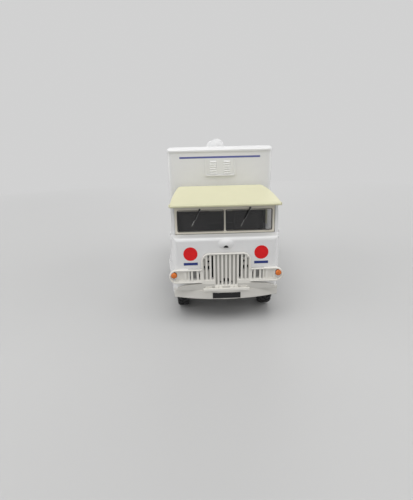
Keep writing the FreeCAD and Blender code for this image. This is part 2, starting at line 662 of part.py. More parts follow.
def draw(body, role, *outlines):
    """A sketch of closed outlines on one of a body's origin planes."""
    sketch = body.newObject("Sketcher::SketchObject", body.Name + "Outline")
    plane = next(item for item in body.Origin.OriginFeatures if item.Role == role)
    sketch.AttachmentSupport = (plane, [""])
    sketch.MapMode = "FlatFace"
    for points in outlines:
        draw_outline(sketch, points)
    return sketch


def profile(name, role, points, low, high):
    """A body padded from an outline on an origin plane, from low to high across it."""
    body = doc.addObject("PartDesign::Body", name)
    sketch = draw(body, role, points)
    bind(sketch, "AttachmentOffset.Base.z", -high if role == "XZ_Plane" else low)
    pad = body.newObject("PartDesign::Pad", name + "Pad")
    pad.Profile = sketch
    bind(pad, "Length", high - low)
    return body


def pocket(body, start, depth, *outlines):
    """Cuts outlines seen from the front into a body, backwards from a plane; no depth cuts through."""
    sketch = draw(body, "XZ_Plane", *outlines)
    bind(sketch, "AttachmentOffset.Base.z", -start)
    feature = body.newObject("PartDesign::Pocket", body.Name + "Pocket")
    feature.Profile = sketch
    if depth is None:
        feature.Type = 1
    else:
        bind(feature, "Length", depth)
    cuts.append(feature)


def turned(name, points, place):
    """A body turned round the X axis from an outline of (along, radius) points."""
    body = doc.addObject("PartDesign::Body", name)
    sketch = draw(body, "XY_Plane", points)
    turn = body.newObject("PartDesign::Revolution", name + "Turn")
    turn.Profile = sketch
    turn.ReferenceAxis = (sketch, ["H_Axis"])
    turn.Angle = 360
    return move(body, place)


def rectangle(across, up, radius=None):
    """The four corners of a rectangle, rounded where a radius is given."""
    corners = [(across[0], up[0]), (across[1], up[0]), (across[1], up[1]), (across[0], up[1])]
    return corners if radius is None else [corner + (radius,) for corner in corners]


# Wheels, tyres and axles

def wheels(end, place):
    """One steel axle with its two wheels and tyres, all turning together."""
    half = S.tyre_width / 2
    bead = half - S.tyre_bulge
    centre = (WHEEL_X, place, AXLE_Z)
    tyre = turned(f"{end}_tyre_left_body", [
        (-bead, S.rim_radius),
        (-half, S.rim_radius + (S.tyre_radius - S.rim_radius) / 2),
        (-half, S.tyre_radius, S.tyre_shoulder),
        (half, S.tyre_radius, S.tyre_shoulder),
        (half, S.rim_radius + (S.tyre_radius - S.rim_radius) / 2),
        (bead, S.rim_radius)], centre)
    disc_out = bead - S.hub_disc_inset
    disc_in = disc_out - S.hub_disc_thick
    rim_in = S.rim_radius - S.rim_lip
    hub = turned(f"{end}_hub_left_body", [
        (-bead, S.rim_radius),
        (bead, S.rim_radius),
        (bead, rim_in),
        (disc_out, rim_in - S.hub_disc_inset / 2),
        (disc_out, S.hub_boss_radius),
        (disc_out + S.hub_boss_stand, S.hub_boss_radius),
        (disc_out + S.hub_boss_stand, S.axle_radius),
        (disc_in, S.axle_radius),
        (disc_in, rim_in),
        (-bead, rim_in)], centre)
    boss_face = WHEEL_X + disc_out + S.hub_boss_stand
    head = boss_face + S.axle_head_thick
    axle = turned(f"{end}_axle_body", [
        (-boss_face, ZERO), (-boss_face, S.axle_radius), (boss_face, S.axle_radius), (boss_face, ZERO)],
        (ZERO, place, AXLE_Z))
    cap = turned(f"{end}_axle_cap", [
        (boss_face, ZERO), (boss_face, S.axle_head_radius),
        (head, S.axle_head_radius, S.axle_head_thick / 2), (head, ZERO)], (ZERO, place, AXLE_Z))
    node(f"{end}_axle", fuse(f"{end}_axle_fused", axle, cap, mirror(f"{end}_axle_cap_right", cap)))
    node(f"{end}_tyre_left", tyre)
    node(f"{end}_tyre_right", mirror(f"{end}_tyre_right_copy", tyre))
    node(f"{end}_hub_left", hub)
    node(f"{end}_hub_right", mirror(f"{end}_hub_right_copy", hub))


def axle_tube(end, place, way):
    """The tube that the axle turns in, with its differential and pinion nose."""
    casing = turned(f"{end}_casing", [
        (-TUBE_HALF, ZERO),
        (-TUBE_HALF, S.tube_radius),
        (-S.diff_half, S.tube_radius),
        (-S.diff_half, S.diff_radius, S.diff_half / 2),
        (S.diff_half, S.diff_radius, S.diff_half / 2),
        (S.diff_half, S.tube_radius),
        (TUBE_HALF, S.tube_radius),
        (TUBE_HALF, ZERO)], (ZERO, place, AXLE_Z))
    ends = sorted((place, place + S.pinion_reach * way), key=lambda reach: reach.value)
    pinion = rod(f"{end}_pinion", "Y", (ZERO, AXLE_Z), S.pinion_radius, *ends)
    bore = rod(f"{end}_axle_bore", "X", (place, AXLE_Z), S.axle_radius + S.axle_play,
               -TUBE_HALF - S.overrun, TUBE_HALF + S.overrun)
    node(f"{end}_axle_tube", cut(f"{end}_axle_tube_cut", fuse(f"{end}_casing_pinion", casing, pinion), bore))


def leaf_spring(end, place):
    """A curved leaf spring on its saddle over the axle tube, both sides of the truck."""
    low = AXLE_Z + S.tube_radius
    eye_low = S.rail_low_z + S.rail_high - S.spring_end_thick * 2
    eye_high = eye_low + S.spring_end_thick
    left = profile(f"{end}_spring_left_body", "YZ_Plane", [
        (place - S.spring_half, eye_low),
        (place, low, S.spring_sweep),
        (place + S.spring_half, eye_low),
        (place + S.spring_half, eye_high),
        (place, low + S.spring_thick, S.spring_sweep),
        (place - S.spring_half, eye_high)],
        SPRING_OUTER - S.spring_wide, SPRING_OUTER)
    saddle = block(f"{end}_saddle", (SPRING_OUTER - S.spring_wide, SPRING_OUTER),
                   (place - S.saddle_long / 2, place + S.saddle_long / 2),
                   (AXLE_Z + S.tube_radius / 2, low + S.saddle_high))
    tube = rod(f"{end}_saddle_room", "X", (place, AXLE_Z), S.tube_radius, ZERO, SPRING_OUTER + S.overrun)
    seated = fuse(f"{end}_spring_left", left, cut(f"{end}_saddle_cut", saddle, tube))
    node(f"{end}_springs", group(f"{end}_spring_pair", seated, mirror(f"{end}_spring_right_copy", seated)))


def drive():
    """The transfer gearbox under the frame and the two propeller shafts."""
    ends = (GEARBOX_MIDDLE - S.gearbox_long / 2, GEARBOX_MIDDLE + S.gearbox_long / 2)
    node("transfer_gearbox", profile(
        "GearboxBody", "XZ_Plane",
        rectangle((-S.gearbox_wide / 2, S.gearbox_wide / 2), (S.gearbox_low_z, S.rail_low_z),
                  S.gearbox_round), *ends))
    front = rod("FrontShaft", "Y", (ZERO, AXLE_Z), S.shaft_radius, FRONT_AXLE + S.pinion_reach, ends[0])
    rear = rod("RearShaft", "Y", (ZERO, AXLE_Z), S.shaft_radius, ends[1], REAR_AXLE - S.pinion_reach)
    node("propeller_shafts", group("ShaftPair", front, rear))


# Frame and what hangs on it

def frame():
    """Two rails with cross members, spring hangers, and the rests for cab and box."""
    start = RAIL_START
    end = REAR - S.eye_radius * 2 - S.beam_thick
    rail = block("RailLeft", (S.rail_inner_x, RAIL_OUTER), (start, end), (S.rail_low_z, RAIL_TOP))
    pieces = [rail]
    sleeper = block("SleeperLeft", (S.rail_inner_x, RAIL_OUTER),
                    (BOX_FRONT + S.sleeper_inset, end), (RAIL_TOP, S.box_low_z))
    pieces.append(sleeper)
    pieces.append(block("HornLeft", (S.rail_inner_x, RAIL_OUTER), (start, start + S.member_long),
                        (BUMPER_TOP - S.arm_high, S.rail_low_z)))
    floor_low = S.cab_floor_z - S.cab_wall
    for name, place in (("Front", start), ("Back", CAB_BACK - S.cab_rest_long * 2)):
        pieces.append(block("CabRest" + name, (S.rail_inner_x, RAIL_OUTER),
                            (place, place + S.cab_rest_long), (RAIL_TOP, floor_low)))
    for axle, place in (("Front", FRONT_AXLE), ("Rear", REAR_AXLE)):
        for side, centre in (("Fore", place - S.spring_half + S.hanger_long / 2),
                             ("Aft", place + S.spring_half - S.hanger_long / 2)):
            pieces.append(block(f"Hanger{axle}{side}", (RAIL_OUTER, SPRING_OUTER),
                                (centre - S.hanger_long / 2, centre + S.hanger_long / 2),
                                (RAIL_TOP - S.spring_end_thick, RAIL_TOP)))
    left = fuse("FrameLeft", *pieces)
    middles = []
    crossings = (start + S.member_long, GEARBOX_MIDDLE,
                 REAR_AXLE - S.spring_half, REAR_AXLE + S.spring_half)
    for number, place in enumerate(crossings):
        middles.append(block(f"Member{number}", (-S.rail_inner_x, S.rail_inner_x),
                             (place - S.member_long / 2, place + S.member_long / 2),
                             (S.rail_low_z, RAIL_TOP)))
    node("frame", fuse("FrameFused", left, mirror("FrameRight", left), *middles))


def tank_and_locker():
    """The fuel tank on the left of the frame and the tool locker on the right."""
    inner = RAIL_OUTER + S.tank_gap
    outer = inner + S.tank_wide
    top = RAIL_TOP - S.tank_top_drop
    bottom = top - S.tank_high
    middle = (CAB_BACK + REAR_AXLE - GUARD_RADIUS) / 2
    for name, way, long, radius in (("fuel_tank", 1, S.tank_long, S.tank_round),
                                    ("tool_locker", -1, S.locker_long, S.locker_round)):
        across = (inner, outer) if way == 1 else (-outer, -inner)
        body = profile(name + "_body", "XZ_Plane", rectangle(across, (bottom, top), radius),
                       middle - long / 2, middle + long / 2)
        pieces = [body]
        reach = (RAIL_OUTER, inner + S.tank_gap) if way == 1 else (-inner - S.tank_gap, -RAIL_OUTER)
        for side in (-1, 1):
            place = middle + S.bracket_apart * side / 2
            pieces.append(block(f"{name}_bracket_{side + 1}", reach,
                                (place - S.bracket_long / 2, place + S.bracket_long / 2),
                                (S.rail_low_z, S.rail_low_z + S.bracket_high)))
        if way == 1:
            pieces.append(rod("FillerCap", "X", (middle, top - S.filler_drop), S.filler_radius,
                              outer - S.filler_stand, outer + S.filler_stand))
        node(name, fuse(name + "_fused", *pieces))


def exhaust():
    """The silencer under the right rail, its pipe from the gearbox and its tail pipe to the side."""
    back = GEARBOX_MIDDLE + S.gearbox_long / 2
    start = back + S.silencer_place
    end = start + S.silencer_long
    drum = rod("Silencer", "Y", (-S.silencer_x, S.silencer_z), S.silencer_radius, start, end)
    front = rod("FrontPipe", "Y", (-S.pipe_x, S.silencer_z), S.pipe_radius, back, start + S.pipe_radius)
    tail = rod("TailPipe", "X", (end - S.tail_pipe_in, S.silencer_z), S.pipe_radius,
               -S.tail_pipe_reach, -S.silencer_x)
    middle = (start + end) / 2
    strap = block("SilencerStrap", (-RAIL_OUTER, -S.silencer_x),
                  (middle - S.silencer_strap / 2, middle + S.silencer_strap / 2),
                  (S.silencer_z + S.silencer_radius / 2, S.rail_low_z))
    node("exhaust", fuse("ExhaustFused", drum, front, tail, strap))


# Nose: bumper, valance, grille and lamps

def bumper():
    """The bowed bumper on its two arms, with the blank number plate on its face."""
    half = FLARE_HALF - S.bumper_inset
    ends = NOSE + S.bumper_sweep
    middle = NOSE - S.bumper_bow
    bow = profile("BumperBow", "XY_Plane", [
        (-half, ends),
        Through(ZERO, middle),
        (half, ends),
        (half, ends + S.bumper_thick),
        Through(ZERO, middle + S.bumper_thick),
        (-half, ends + S.bumper_thick)],
        S.bumper_low_z, BUMPER_TOP)
    arm = block("BumperArmLeft", (S.rail_inner_x, RAIL_OUTER), (middle + S.bumper_thick / 2, RAIL_START),
                (BUMPER_TOP - S.arm_high, BUMPER_TOP))
    node("bumper", fuse("BumperFused", bow, arm, mirror("BumperArmRight", arm)))
    low = S.bumper_low_z + S.plate_lift
    plate = block("PlateBlank", (-S.plate_half, S.plate_half),
                  (FRONT, NOSE), (low, low + S.plate_high))
    node("number_plate", cut("PlateFitted", plate, bow))


def valance(cab_outer):
    """The sheet between the bumper and the grille's wings, with the ledge under the grille."""
    half = FLARE_HALF - S.bumper_inset - S.valance_inset
    sheet = profile("ValanceSheet", "XZ_Plane", both_sides([
        (half, BUMPER_TOP),
        (half - S.valance_tip_round, S.valance_tip_z, S.valance_tip_round),
        (half - S.valance_shoulder_in, S.valance_shoulder_z, S.valance_shoulder_round),
        (S.grille_half, S.valance_top_z),
        (S.grille_half, S.side_sill_z),
        (CHIN_HALF, S.side_sill_z),
        (CHIN_HALF, S.grille_low_z)]), NOSE, SKIN + S.bumper_sweep)
    ledge = block("Ledge", (-S.ledge_half, S.ledge_half), (NOSE - S.ledge_stand, NOSE),
                  (BUMPER_TOP, BUMPER_TOP + S.ledge_high))
    bar = block("ChinBar", (S.chin_bar_inner, S.chin_bar_inner + S.chin_bar_long),
                (NOSE - S.chin_bar_stand, NOSE), (S.chin_bar_low_z, S.chin_bar_low_z + S.chin_bar_high))
    node("valance", fuse("ValanceFused", cut("ValanceFitted", sheet, cab_outer), ledge,
                         bar, mirror("ChinBarRight", bar)))


def grille_openings():
    """Where the grille is open right through: middle, half width, lower and upper end."""
    high = S.grille_top_z - S.grille_low_z
    places = []
    for way in (-1, 1):
        for number, openings in OPEN_SHARES.items():
            middle = SLOT_PITCH * (way * (number + 0.5))
            for low, top, width in openings:
                places.append((middle, S.slot_wide * width / 2,
                               S.grille_low_z + high * low, S.grille_low_z + high * top))
    return places


def grille():
    """The barred grille with a lamp wing each side: a rimmed plate with rows of slots."""
    body = profile("GrilleBody", "XZ_Plane", both_sides([
        (CHIN_HALF, S.grille_low_z),
        (CHIN_HALF, S.side_sill_z),
        (S.grille_half, S.side_sill_z),
        (S.grille_half, S.wing_low_z),
        (WING_HALF, S.wing_low_z, S.wing_round),
        (WING_HALF, WING_TOP, S.wing_round),
        (S.grille_half, WING_TOP),
        (S.grille_half, S.grille_top_z, S.grille_corner)]), NOSE, SKIN)
    side_low = S.side_slot_low_z
    centre_low = S.centre_slot_low_z
    top = S.grille_top_z - S.grille_rim
    wing_high = WING_TOP - S.wing_rim
    chin_half = CHIN_HALF - S.chin_rim
    window_end = WING_HALF - S.wing_window_in
    recess = both_sides([
        (chin_half, centre_low),
        (chin_half, side_low),
        (window_end, side_low),
        (window_end, wing_high),
        (S.grille_half - S.grille_rim, wing_high),
        (S.grille_half - S.grille_rim, top, S.grille_corner - S.grille_rim)])
    lamp_start = window_end + S.wing_bar
    lamp_end = WING_HALF - S.wing_rim
    lamp_round = S.wing_round - S.wing_rim
    lamp_recess = [
        (lamp_start, S.wing_low_z + S.wing_rim),
        (lamp_end, S.wing_low_z + S.wing_rim, lamp_round),
        (lamp_end, wing_high, lamp_round),
        (lamp_start, wing_high)]
    mirrored = [flipped(point) for point in reversed(lamp_recess)]
    pocket(body, NOSE, S.rim_stand, recess, lamp_recess, mirrored)
    half_slot = S.slot_wide / 2
    wing_slots = ((S.wing_slot_first, S.wing_slot_thin), (S.wing_slot_broad_out, S.wing_slot_broad),
                  (S.wing_slot_third, S.wing_slot_thin))
    shallow = []
    through = [rectangle((middle - half, middle + half), (low, high))
               for middle, half, low, high in grille_openings()]
    for way in (-1, 1):
        for number in range(SLOTS_A_SIDE):
            middle = SLOT_PITCH * (way * (number + 0.5))
            low = centre_low if number < SHORT_SLOTS else side_low
            high = top - S.corner_drop if number == SLOTS_A_SIDE - 1 else top
            shallow.append(rectangle((middle - half_slot, middle + half_slot), (low, high)))
        for out, wide in wing_slots:
            middle = (S.grille_half + out) * way
            through.append(rectangle((middle - wide / 2, middle + wide / 2), (side_low, wing_high)))
        middle = (S.grille_half + S.wing_slot_last) * way
        half = S.wing_slot_thin / 2
        shallow.append(rectangle((middle - half, middle + half), (side_low, wing_high)))
        middle = (window_end - S.wing_window_wide / 2) * way
        half = S.wing_window_wide / 2 - S.window_rim
        shallow.append(rectangle((middle - half, middle + half),
                                 (side_low + S.window_rim, wing_high - S.window_rim)))
    pocket(body, NOSE, S.rim_stand + S.slot_deep, *shallow)
    pocket(body, NOSE, None, *through)
    bars_face = NOSE + S.rim_stand
    centre, side = [profile("Sill" + name, "YZ_Plane", [
        (bars_face, low), (SKIN, low), (SKIN, low + S.slot_sill)], *ends)
        for name, low, ends in (("Centre", centre_low, (-chin_half, chin_half)),
                                ("Side", side_low, (chin_half, window_end - S.wing_window_wide)))]
    node("grille", fuse("GrilleFused", body, centre, side, mirror("SillRight", side)))


def lamps():
    """Headlamps behind the wing slots, and indicators on the wings' round ends."""
    bowl = doc.addObject("Part::Cone", "LampBowl")
    bind(bowl, "Radius1", S.lamp_back_radius)
    bind(bowl, "Radius2", S.lamp_radius)
    bind(bowl, "Height", S.lamp_long)
    bowl.Placement = Placement(Vector(), Rotation(Vector(1, 0, 0), 90))
    move(bowl, (LAMP_X, SKIN + S.lamp_long, WING_MIDDLE))
    node("headlamps", group("HeadlampPair", bowl, mirror("HeadlampCopy", bowl)))
    spot = (WING_HALF - S.indicator_in, NOSE + S.rim_stand, WING_MIDDLE + S.indicator_raise)
    lens = turned("indicator_left_body", [
        (ZERO, ZERO), (ZERO, S.indicator_radius),
        (S.indicator_stand, S.indicator_radius, S.indicator_stand / 2), (S.indicator_stand, ZERO)], spot)
    lens.Placement = Placement(Vector(), Rotation(Vector(0, 0, 1), -90))
    move(lens, spot)
    node("indicators", group("IndicatorPair", lens, mirror("IndicatorCopy", lens)))


def nose_boss(cab_outer):
    """The soft round bulge above the grille, with a plain half-round recess."""
    middle = S.grille_top_z + S.bulge_up
    face = SKIN - S.bulge_stand
    ball = doc.addObject("Part::Sphere", "BulgeBall")
    radius = (S.bulge_radius * S.bulge_radius + S.bulge_stand * S.bulge_stand) / (S.bulge_stand * 2)
    bind(ball, "Radius", radius)
    move(ball, (ZERO, face + radius, middle))
    room = block("BulgeRoom", (-S.bulge_radius, S.bulge_radius), (face, SKIN + S.bulge_set),
                 (middle - S.bulge_radius, middle + S.bulge_radius))
    recess_low = middle - S.boss_recess_down
    recess = rod("BossRecess", "Y", (ZERO, recess_low), S.boss_recess_half,
                 face - S.overrun, face + S.boss_recess_deep)
    lower = block("BossLower", (-S.bulge_radius, S.bulge_radius), (face - S.overrun, SKIN),
                  (recess_low - S.bulge_radius, recess_low))
    node("nose_boss", cut("BossCut", common("BulgeForm", ball, room), cab_outer,
                          cut("BossHalfRecess", recess, lower)))


# Cab

def cab_form(name, inset, side_points):
    """The cab's outer form, or with an inset its hollow: what three outlines have in common."""
    top = S.post_z + inset
    foot = S.cab_foot_z - inset
    front = profile(name + "Front", "XZ_Plane", both_sides([
        (FOOT_HALF - inset, foot),
        (FLARE_HALF - inset, S.flare_low_z),
        (FLARE_HALF - inset, S.flare_top_z, S.flare_round),
        (S.waist_half - inset, S.waist_z, S.waist_round),
        (DOOR_HALF - inset, top)]), SKIN, CAB_BACK)
    plan = profile(name + "Plan", "XY_Plane", both_sides([
        (NOSE_HALF - inset, SKIN + inset, S.nose_corner),
        (DOOR_HALF - inset, SKIN + S.cheek_deep + inset, S.cheek_round),
        (FLARE_HALF - inset, SKIN + S.flare_deep + inset, S.flare_plan_round),
        (FLARE_HALF - inset, CAB_BACK - inset)]), foot, top)
    side = profile(name + "Side", "YZ_Plane", side_points, -FLARE_HALF, FLARE_HALF)
    return common(name, front, plan, side)


def cab_lines():
    """The lines of the doors and round the wheel arches, as deep as the grooves in the cab's sides."""
    half = FLARE_HALF + S.overrun
    front = POST_FRONT + S.post_deep + S.door_front
    back = CAB_BACK - S.quarter_long + S.door_back
    low = AXLE_Z + ARCH_RADIUS + S.door_low
    high = S.post_z
    wide = S.groove_wide
    outline = profile("DoorLineOuter", "YZ_Plane", [
        (front, low, S.door_round), (back, low, S.door_round), (back, high), (front, high)], -half, half)
    within = profile("DoorLineInner", "YZ_Plane", [
        (front + wide, low + wide, S.door_round - wide), (back - wide, low + wide, S.door_round - wide),
        (back - wide, high + wide), (front + wide, high + wide)], -half - wide, half + wide)
    door = cut("DoorLine", outline, within)
    lip = ARCH_RADIUS + S.arch_lip
    outer = rod("ArchLineOuter", "X", (FRONT_AXLE, AXLE_Z), lip + wide, -half, half)
    inside = rod("ArchLineInner", "X", (FRONT_AXLE, AXLE_Z), lip, -half - wide, half + wide)
    arch = cut("ArchLine", outer, inside)
    under = cab_form("CabLine", S.groove_deep, rectangle((SKIN, CAB_BACK), (ZERO, S.post_z)))
    return cut("CabLines", fuse("LineRings", door, arch), under)


def cab_shell():
    """The die-cast cab: nose, wings over the wheels, door lower halves and windscreen posts."""
    wall = S.cab_wall
    lean = S.post_lean
    post_back = POST_FRONT + S.post_deep
    quarter = CAB_BACK - S.quarter_long
    outer = cab_form("CabOuter", ZERO, [
        (SKIN, S.cab_foot_z),
        (SKIN, S.brow_z, S.brow_round),
        (POST_FRONT, S.cowl_z),
        (POST_FRONT + lean, S.post_z),
        (post_back + lean, S.post_z),
        (post_back, S.sill_z, S.gusset_round),
        (quarter, S.sill_z, S.quarter_round),
        (quarter + S.top_wall, S.quarter_z),
        (CAB_BACK, S.quarter_z),
        (CAB_BACK, S.cab_back_foot_z),
        (FRONT_AXLE, S.cab_back_foot_z),
        (FRONT_AXLE, S.cab_foot_z)])
    inner = cab_form("CabInner", wall, [
        (SKIN + wall, S.cab_foot_z - wall),
        (SKIN + wall, S.brow_z - wall, S.brow_round - wall / 2),
        (POST_FRONT + lean, S.cowl_z - wall),
        (POST_FRONT + lean, S.post_z + wall),
        (CAB_BACK - wall, S.post_z + wall),
        (CAB_BACK - wall, S.cab_foot_z - wall)])
    floor = block("CabFloor", (-FLARE_HALF, FLARE_HALF), (SKIN, CAB_BACK),
                  (S.cab_floor_z - wall, S.cab_floor_z))
    screen_gap = block("ScreenGap", (-POST_INNER, POST_INNER),
                       (POST_FRONT - S.overrun, CAB_BACK), (S.cowl_z, S.post_z + S.overrun))
    arch = rod("WheelArch", "X", (FRONT_AXLE, AXLE_Z), ARCH_RADIUS,
               -FLARE_HALF - S.overrun, FLARE_HALF + S.overrun)
    bumper_room = block("BumperRoom", (-FLARE_HALF, FLARE_HALF),
                        (SKIN - S.overrun, NOSE + S.bumper_sweep + S.bumper_thick + S.bumper_room),
                        (S.cab_foot_z - S.overrun, BUMPER_TOP))
    tools = [cut("CabHollow", inner, floor), screen_gap, arch, bumper_room, cab_lines()]
    for way in (-1, 1):
        tools.append(rod(f"LampHole{way + 1}", "Y", (LAMP_X * way, WING_MIDDLE), S.lamp_radius + S.lamp_play,
                         SKIN - S.overrun, SKIN + S.overrun))
    for number, (middle, half, low, high) in enumerate(grille_openings()):
        tools.append(block(f"SlotRoom{number}", (middle - half * 2, middle + half * 2),
                           (SKIN - S.overrun, SKIN + S.overrun), (low, high)))
    shell = cut("CabShellCut", outer, *tools)
    lugs = []
    for name, height in (("Low", S.lug_low_z), ("High", S.lug_high_z)):
        lugs.append(rod("Lug" + name, "X", (POST_FRONT + S.post_deep / 2, height), S.lug_radius,
                        DOOR_HALF - wall / 2, DOOR_HALF + S.lug_stand))
    door_back = quarter + S.door_back - S.cab_handle_in
    door_top = S.sill_z - S.cab_handle_drop
    lugs.append(block("CabHandle", (DOOR_HALF, S.waist_half + S.cab_handle_stand),
                      (door_back - S.cab_handle_long, door_back), (door_top - S.cab_handle_high, door_top)))
    pair = fuse("LugsLeft", *lugs)
    node("cab_shell", fuse("CabShellFused", shell, pair, mirror("LugsRight", pair)))
    return outer


def cab_top():
    """The cab's top: a hollow hood with an open front, side openings and a rear window."""
    def form(name, inset):
        roof = TOP_LIP_Z + S.top_lip_high - inset
        peak = TOP_LIP_Z + S.top_rise - inset
        back = CAB_BACK - inset
        half = DOOR_HALF - S.top_inset
        front = profile(name + "Front", "XZ_Plane", both_sides([
            (half - inset, S.quarter_z - inset),
            (half - inset, peak, S.top_shoulder)]), NOSE, CAB_BACK)
        side = profile(name + "Side", "YZ_Plane", [
            (NOSE + S.top_front + inset, S.quarter_z - inset),
            (NOSE + S.top_front + inset, roof),
            (CAB_BACK - S.top_peak_long, peak, S.top_crown_round),
            (back, peak - S.top_fall, S.top_crown_round),
            (back, S.quarter_z - inset)], -half, half)
        return common(name, front, side)

    quarter = CAB_BACK - S.top_quarter_long
    opening = profile("SideOpening", "YZ_Plane", [
        (NOSE, S.quarter_z - S.overrun),
        (quarter, S.quarter_z - S.overrun),
        (quarter, TOP_LIP_Z, S.top_quarter_round),
        (NOSE, TOP_LIP_Z)], -DOOR_HALF - S.overrun, DOOR_HALF + S.overrun)
    light = profile("BackLight", "XZ_Plane", rectangle(
        (-S.back_light_half, S.back_light_half),
        (S.back_light_z, S.back_light_z + S.back_light_high), S.back_light_round),
        CAB_BACK - S.overrun, CAB_BACK + S.overrun)
    top_half = DOOR_HALF - S.top_inset
    front = NOSE + S.top_front
    bead_high = TOP_LIP_Z + S.top_lip_high
    bead = block("TopBead", (-top_half - S.top_bead, top_half + S.top_bead),
                 (front - S.top_bead, quarter), (TOP_LIP_Z, bead_high))
    within = block("TopBeadRoom", (-top_half + S.top_wall, top_half - S.top_wall),
                   (front + S.top_wall, quarter + S.overrun),
                   (TOP_LIP_Z - S.overrun, bead_high + S.overrun))
    hood = cut("CabTopCut", form("TopOuter", ZERO), form("TopInner", S.top_wall), opening, light)
    node("cab_top", fuse("CabTopFused", hood, cut("TopBeadCut", bead, within)))


def windscreen():
    """The framed two-pane windscreen between the posts, with its wipers, all leaning back."""
    low = S.cowl_z + S.screen_lift
    high = S.post_z + S.screen_rise
    front = POST_FRONT + S.screen_set
    lean = math.degrees(math.atan2(S.post_lean.value, (S.post_z - S.cowl_z).value))
    leaning = Rotation(Vector(1, 0, 0), -lean)
    half = POST_INNER - S.screen_gap
    pane_low = S.screen_rail
    pane_high = high - low - S.screen_top_rail
    inner = S.screen_post / 2
    outer = half - S.screen_rail
    screen = profile("ScreenBody", "XZ_Plane", rectangle((-half, half), (ZERO, high - low)),
                     ZERO, S.screen_thick)
    openings = [rectangle(sorted((inner * way, outer * way), key=lambda end: end.value),
                          (pane_low, pane_high), S.screen_round) for way in (-1, 1)]
    pocket(screen, ZERO, None, *openings)
    pane = profile("PaneBody", "XZ_Plane", rectangle((inner, outer), (pane_low, pane_high), S.screen_round),
                   (S.screen_thick - S.pane_thick) / 2, (S.screen_thick + S.pane_thick) / 2)
    for piece in (screen, pane):
        piece.Placement = Placement(Vector(), leaning)
        move(piece, (ZERO, front, low))
    node("windscreen_frame", screen)
    node("windscreen_panes", group("PanePair", pane, mirror("PaneCopy", pane)))
    wipers = []
    for side, top_x, turn in (("Left", S.wiper_left_x, S.wiper_left_turn),
                              ("Right", -S.wiper_right_x, S.wiper_right_turn)):
        arm = profile(f"Wiper{side}", "XZ_Plane", rectangle(
            (-S.wiper_wide / 2, S.wiper_wide / 2), (-S.wiper_long, ZERO)),
            -S.wiper_stand - S.wiper_wide, -S.wiper_stand)
        arm.Placement = Placement(Vector(), leaning.multiply(Rotation(Vector(0, 1, 0), turn.value)))
        move(arm, (top_x, front + S.post_lean * pane_high / (S.post_z - S.cowl_z), low + pane_high))
        wipers.append(arm)
    node("wipers", group("WiperPair", *wipers))


def cab_inside():
    """Engine cover, seats, dashboard and steering wheel."""
    floor = S.cab_floor_z
    cover_front = SKIN + S.cab_wall + S.dash_deep
    cover = profile("CoverBody", "XZ_Plane", both_sides([
        (S.cover_half, floor),
        (S.cover_half, floor + S.cover_high, S.cover_round)]), cover_front, cover_front + S.cover_long)
    node("engine_cover", cover)
    seat_back = CAB_BACK - S.cab_wall - S.top_wall
    inner = S.cover_half + S.seat_gap
    seat = profile("SeatBody", "YZ_Plane", [
        (seat_back - S.seat_deep, floor),
        (seat_back - S.seat_deep, floor + S.seat_base_high, S.seat_round),
        (seat_back - S.seat_back_thick, floor + S.seat_base_high, S.seat_round / 2),
        (seat_back - S.seat_back_thick, floor + S.seat_back_high, S.seat_round / 2),
        (seat_back, floor + S.seat_back_high, S.seat_round / 2),
        (seat_back, floor)], inner, inner + S.seat_wide)
    node("seat_left", seat)
    node("seat_right", mirror("SeatCopy", seat))
    dash_top = S.brow_z - S.cab_wall - S.dash_drop
    dash_back = SKIN + S.cab_wall + S.dash_deep
    dash = profile("DashBody", "YZ_Plane", [
        (SKIN + S.cab_wall, dash_top - S.dash_high),
        (dash_back, dash_top - S.dash_high),
        (dash_back, dash_top, S.dash_round),
        (SKIN + S.cab_wall, dash_top)], -NOSE_HALF + S.cab_wall * 2, NOSE_HALF - S.cab_wall * 2)
    node("dashboard", dash)
    rim = doc.addObject("Part::Torus", "SteeringRim")
    bind(rim, "Radius1", S.steer_radius)
    bind(rim, "Radius2", S.steer_rim)
    spokes = [rod("SteeringHub", "Z", (ZERO, ZERO), S.steer_hub_radius, -S.steer_rim, S.steer_rim)]
    for number in range(SPOKES):
        spoke = block(f"Spoke{number}", (ZERO, S.steer_radius), (-S.spoke_wide / 2, S.spoke_wide / 2),
                      (-S.steer_rim / 2, S.steer_rim / 2))
        spoke.Placement = Placement(Vector(), Rotation(Vector(0, 0, 1), 90 + 360 / SPOKES * number))
        bind(spoke, "Placement.Base.z", -S.steer_rim / 2)
        spokes.append(spoke)
    height = dash_top - S.dash_high / 2 + S.steer_rise
    drop = height - floor + S.column_radius
    column = rod("Column", "Z", (ZERO, ZERO), S.column_radius,
                 -drop / math.cos(math.radians(S.steer_lean.value)), ZERO)
    wheel = fuse("SteeringFused", rim, column, *spokes)
    wheel.Placement = Placement(Vector(), Rotation(Vector(1, 0, 0), -S.steer_lean.value))
    move(wheel, (S.steer_x, dash_back + S.steer_gap, height))
    below = block("SteeringFoot", (ZERO, NOSE_HALF), (SKIN, CAB_BACK), (floor - S.overrun, floor))
    node("steering_wheel", cut("SteeringFitted", wheel, below))


# Box body

def box_outline(inset):
    """The box walls seen from above, with rounded front corners."""
    return [
        (S.box_half - inset, BOX_FRONT + inset, S.box_corner - inset / 2),
        (S.box_half - inset, BOX_REAR),
        (-S.box_half + inset, BOX_REAR),
        (-S.box_half + inset, BOX_FRONT + inset, S.box_corner - inset / 2)]


def side_windows(name, inner, outer, margin=ZERO):
    """The row of window shapes in the box's left side, wider all round by a margin."""
    shapes = []
    for number in range(SIDE_WINDOWS):
        middle = BOX_FRONT + S.window_first + S.window_pitch * number
        half = S.window_wide / 2 + margin
        shapes.append(profile(f"{name}{number}", "YZ_Plane", rectangle(
            (middle - half, middle + half),
            (WINDOW_TOP_Z - S.window_high - margin, WINDOW_TOP_Z + margin), S.window_round + margin),
            inner, outer))
    return shapes


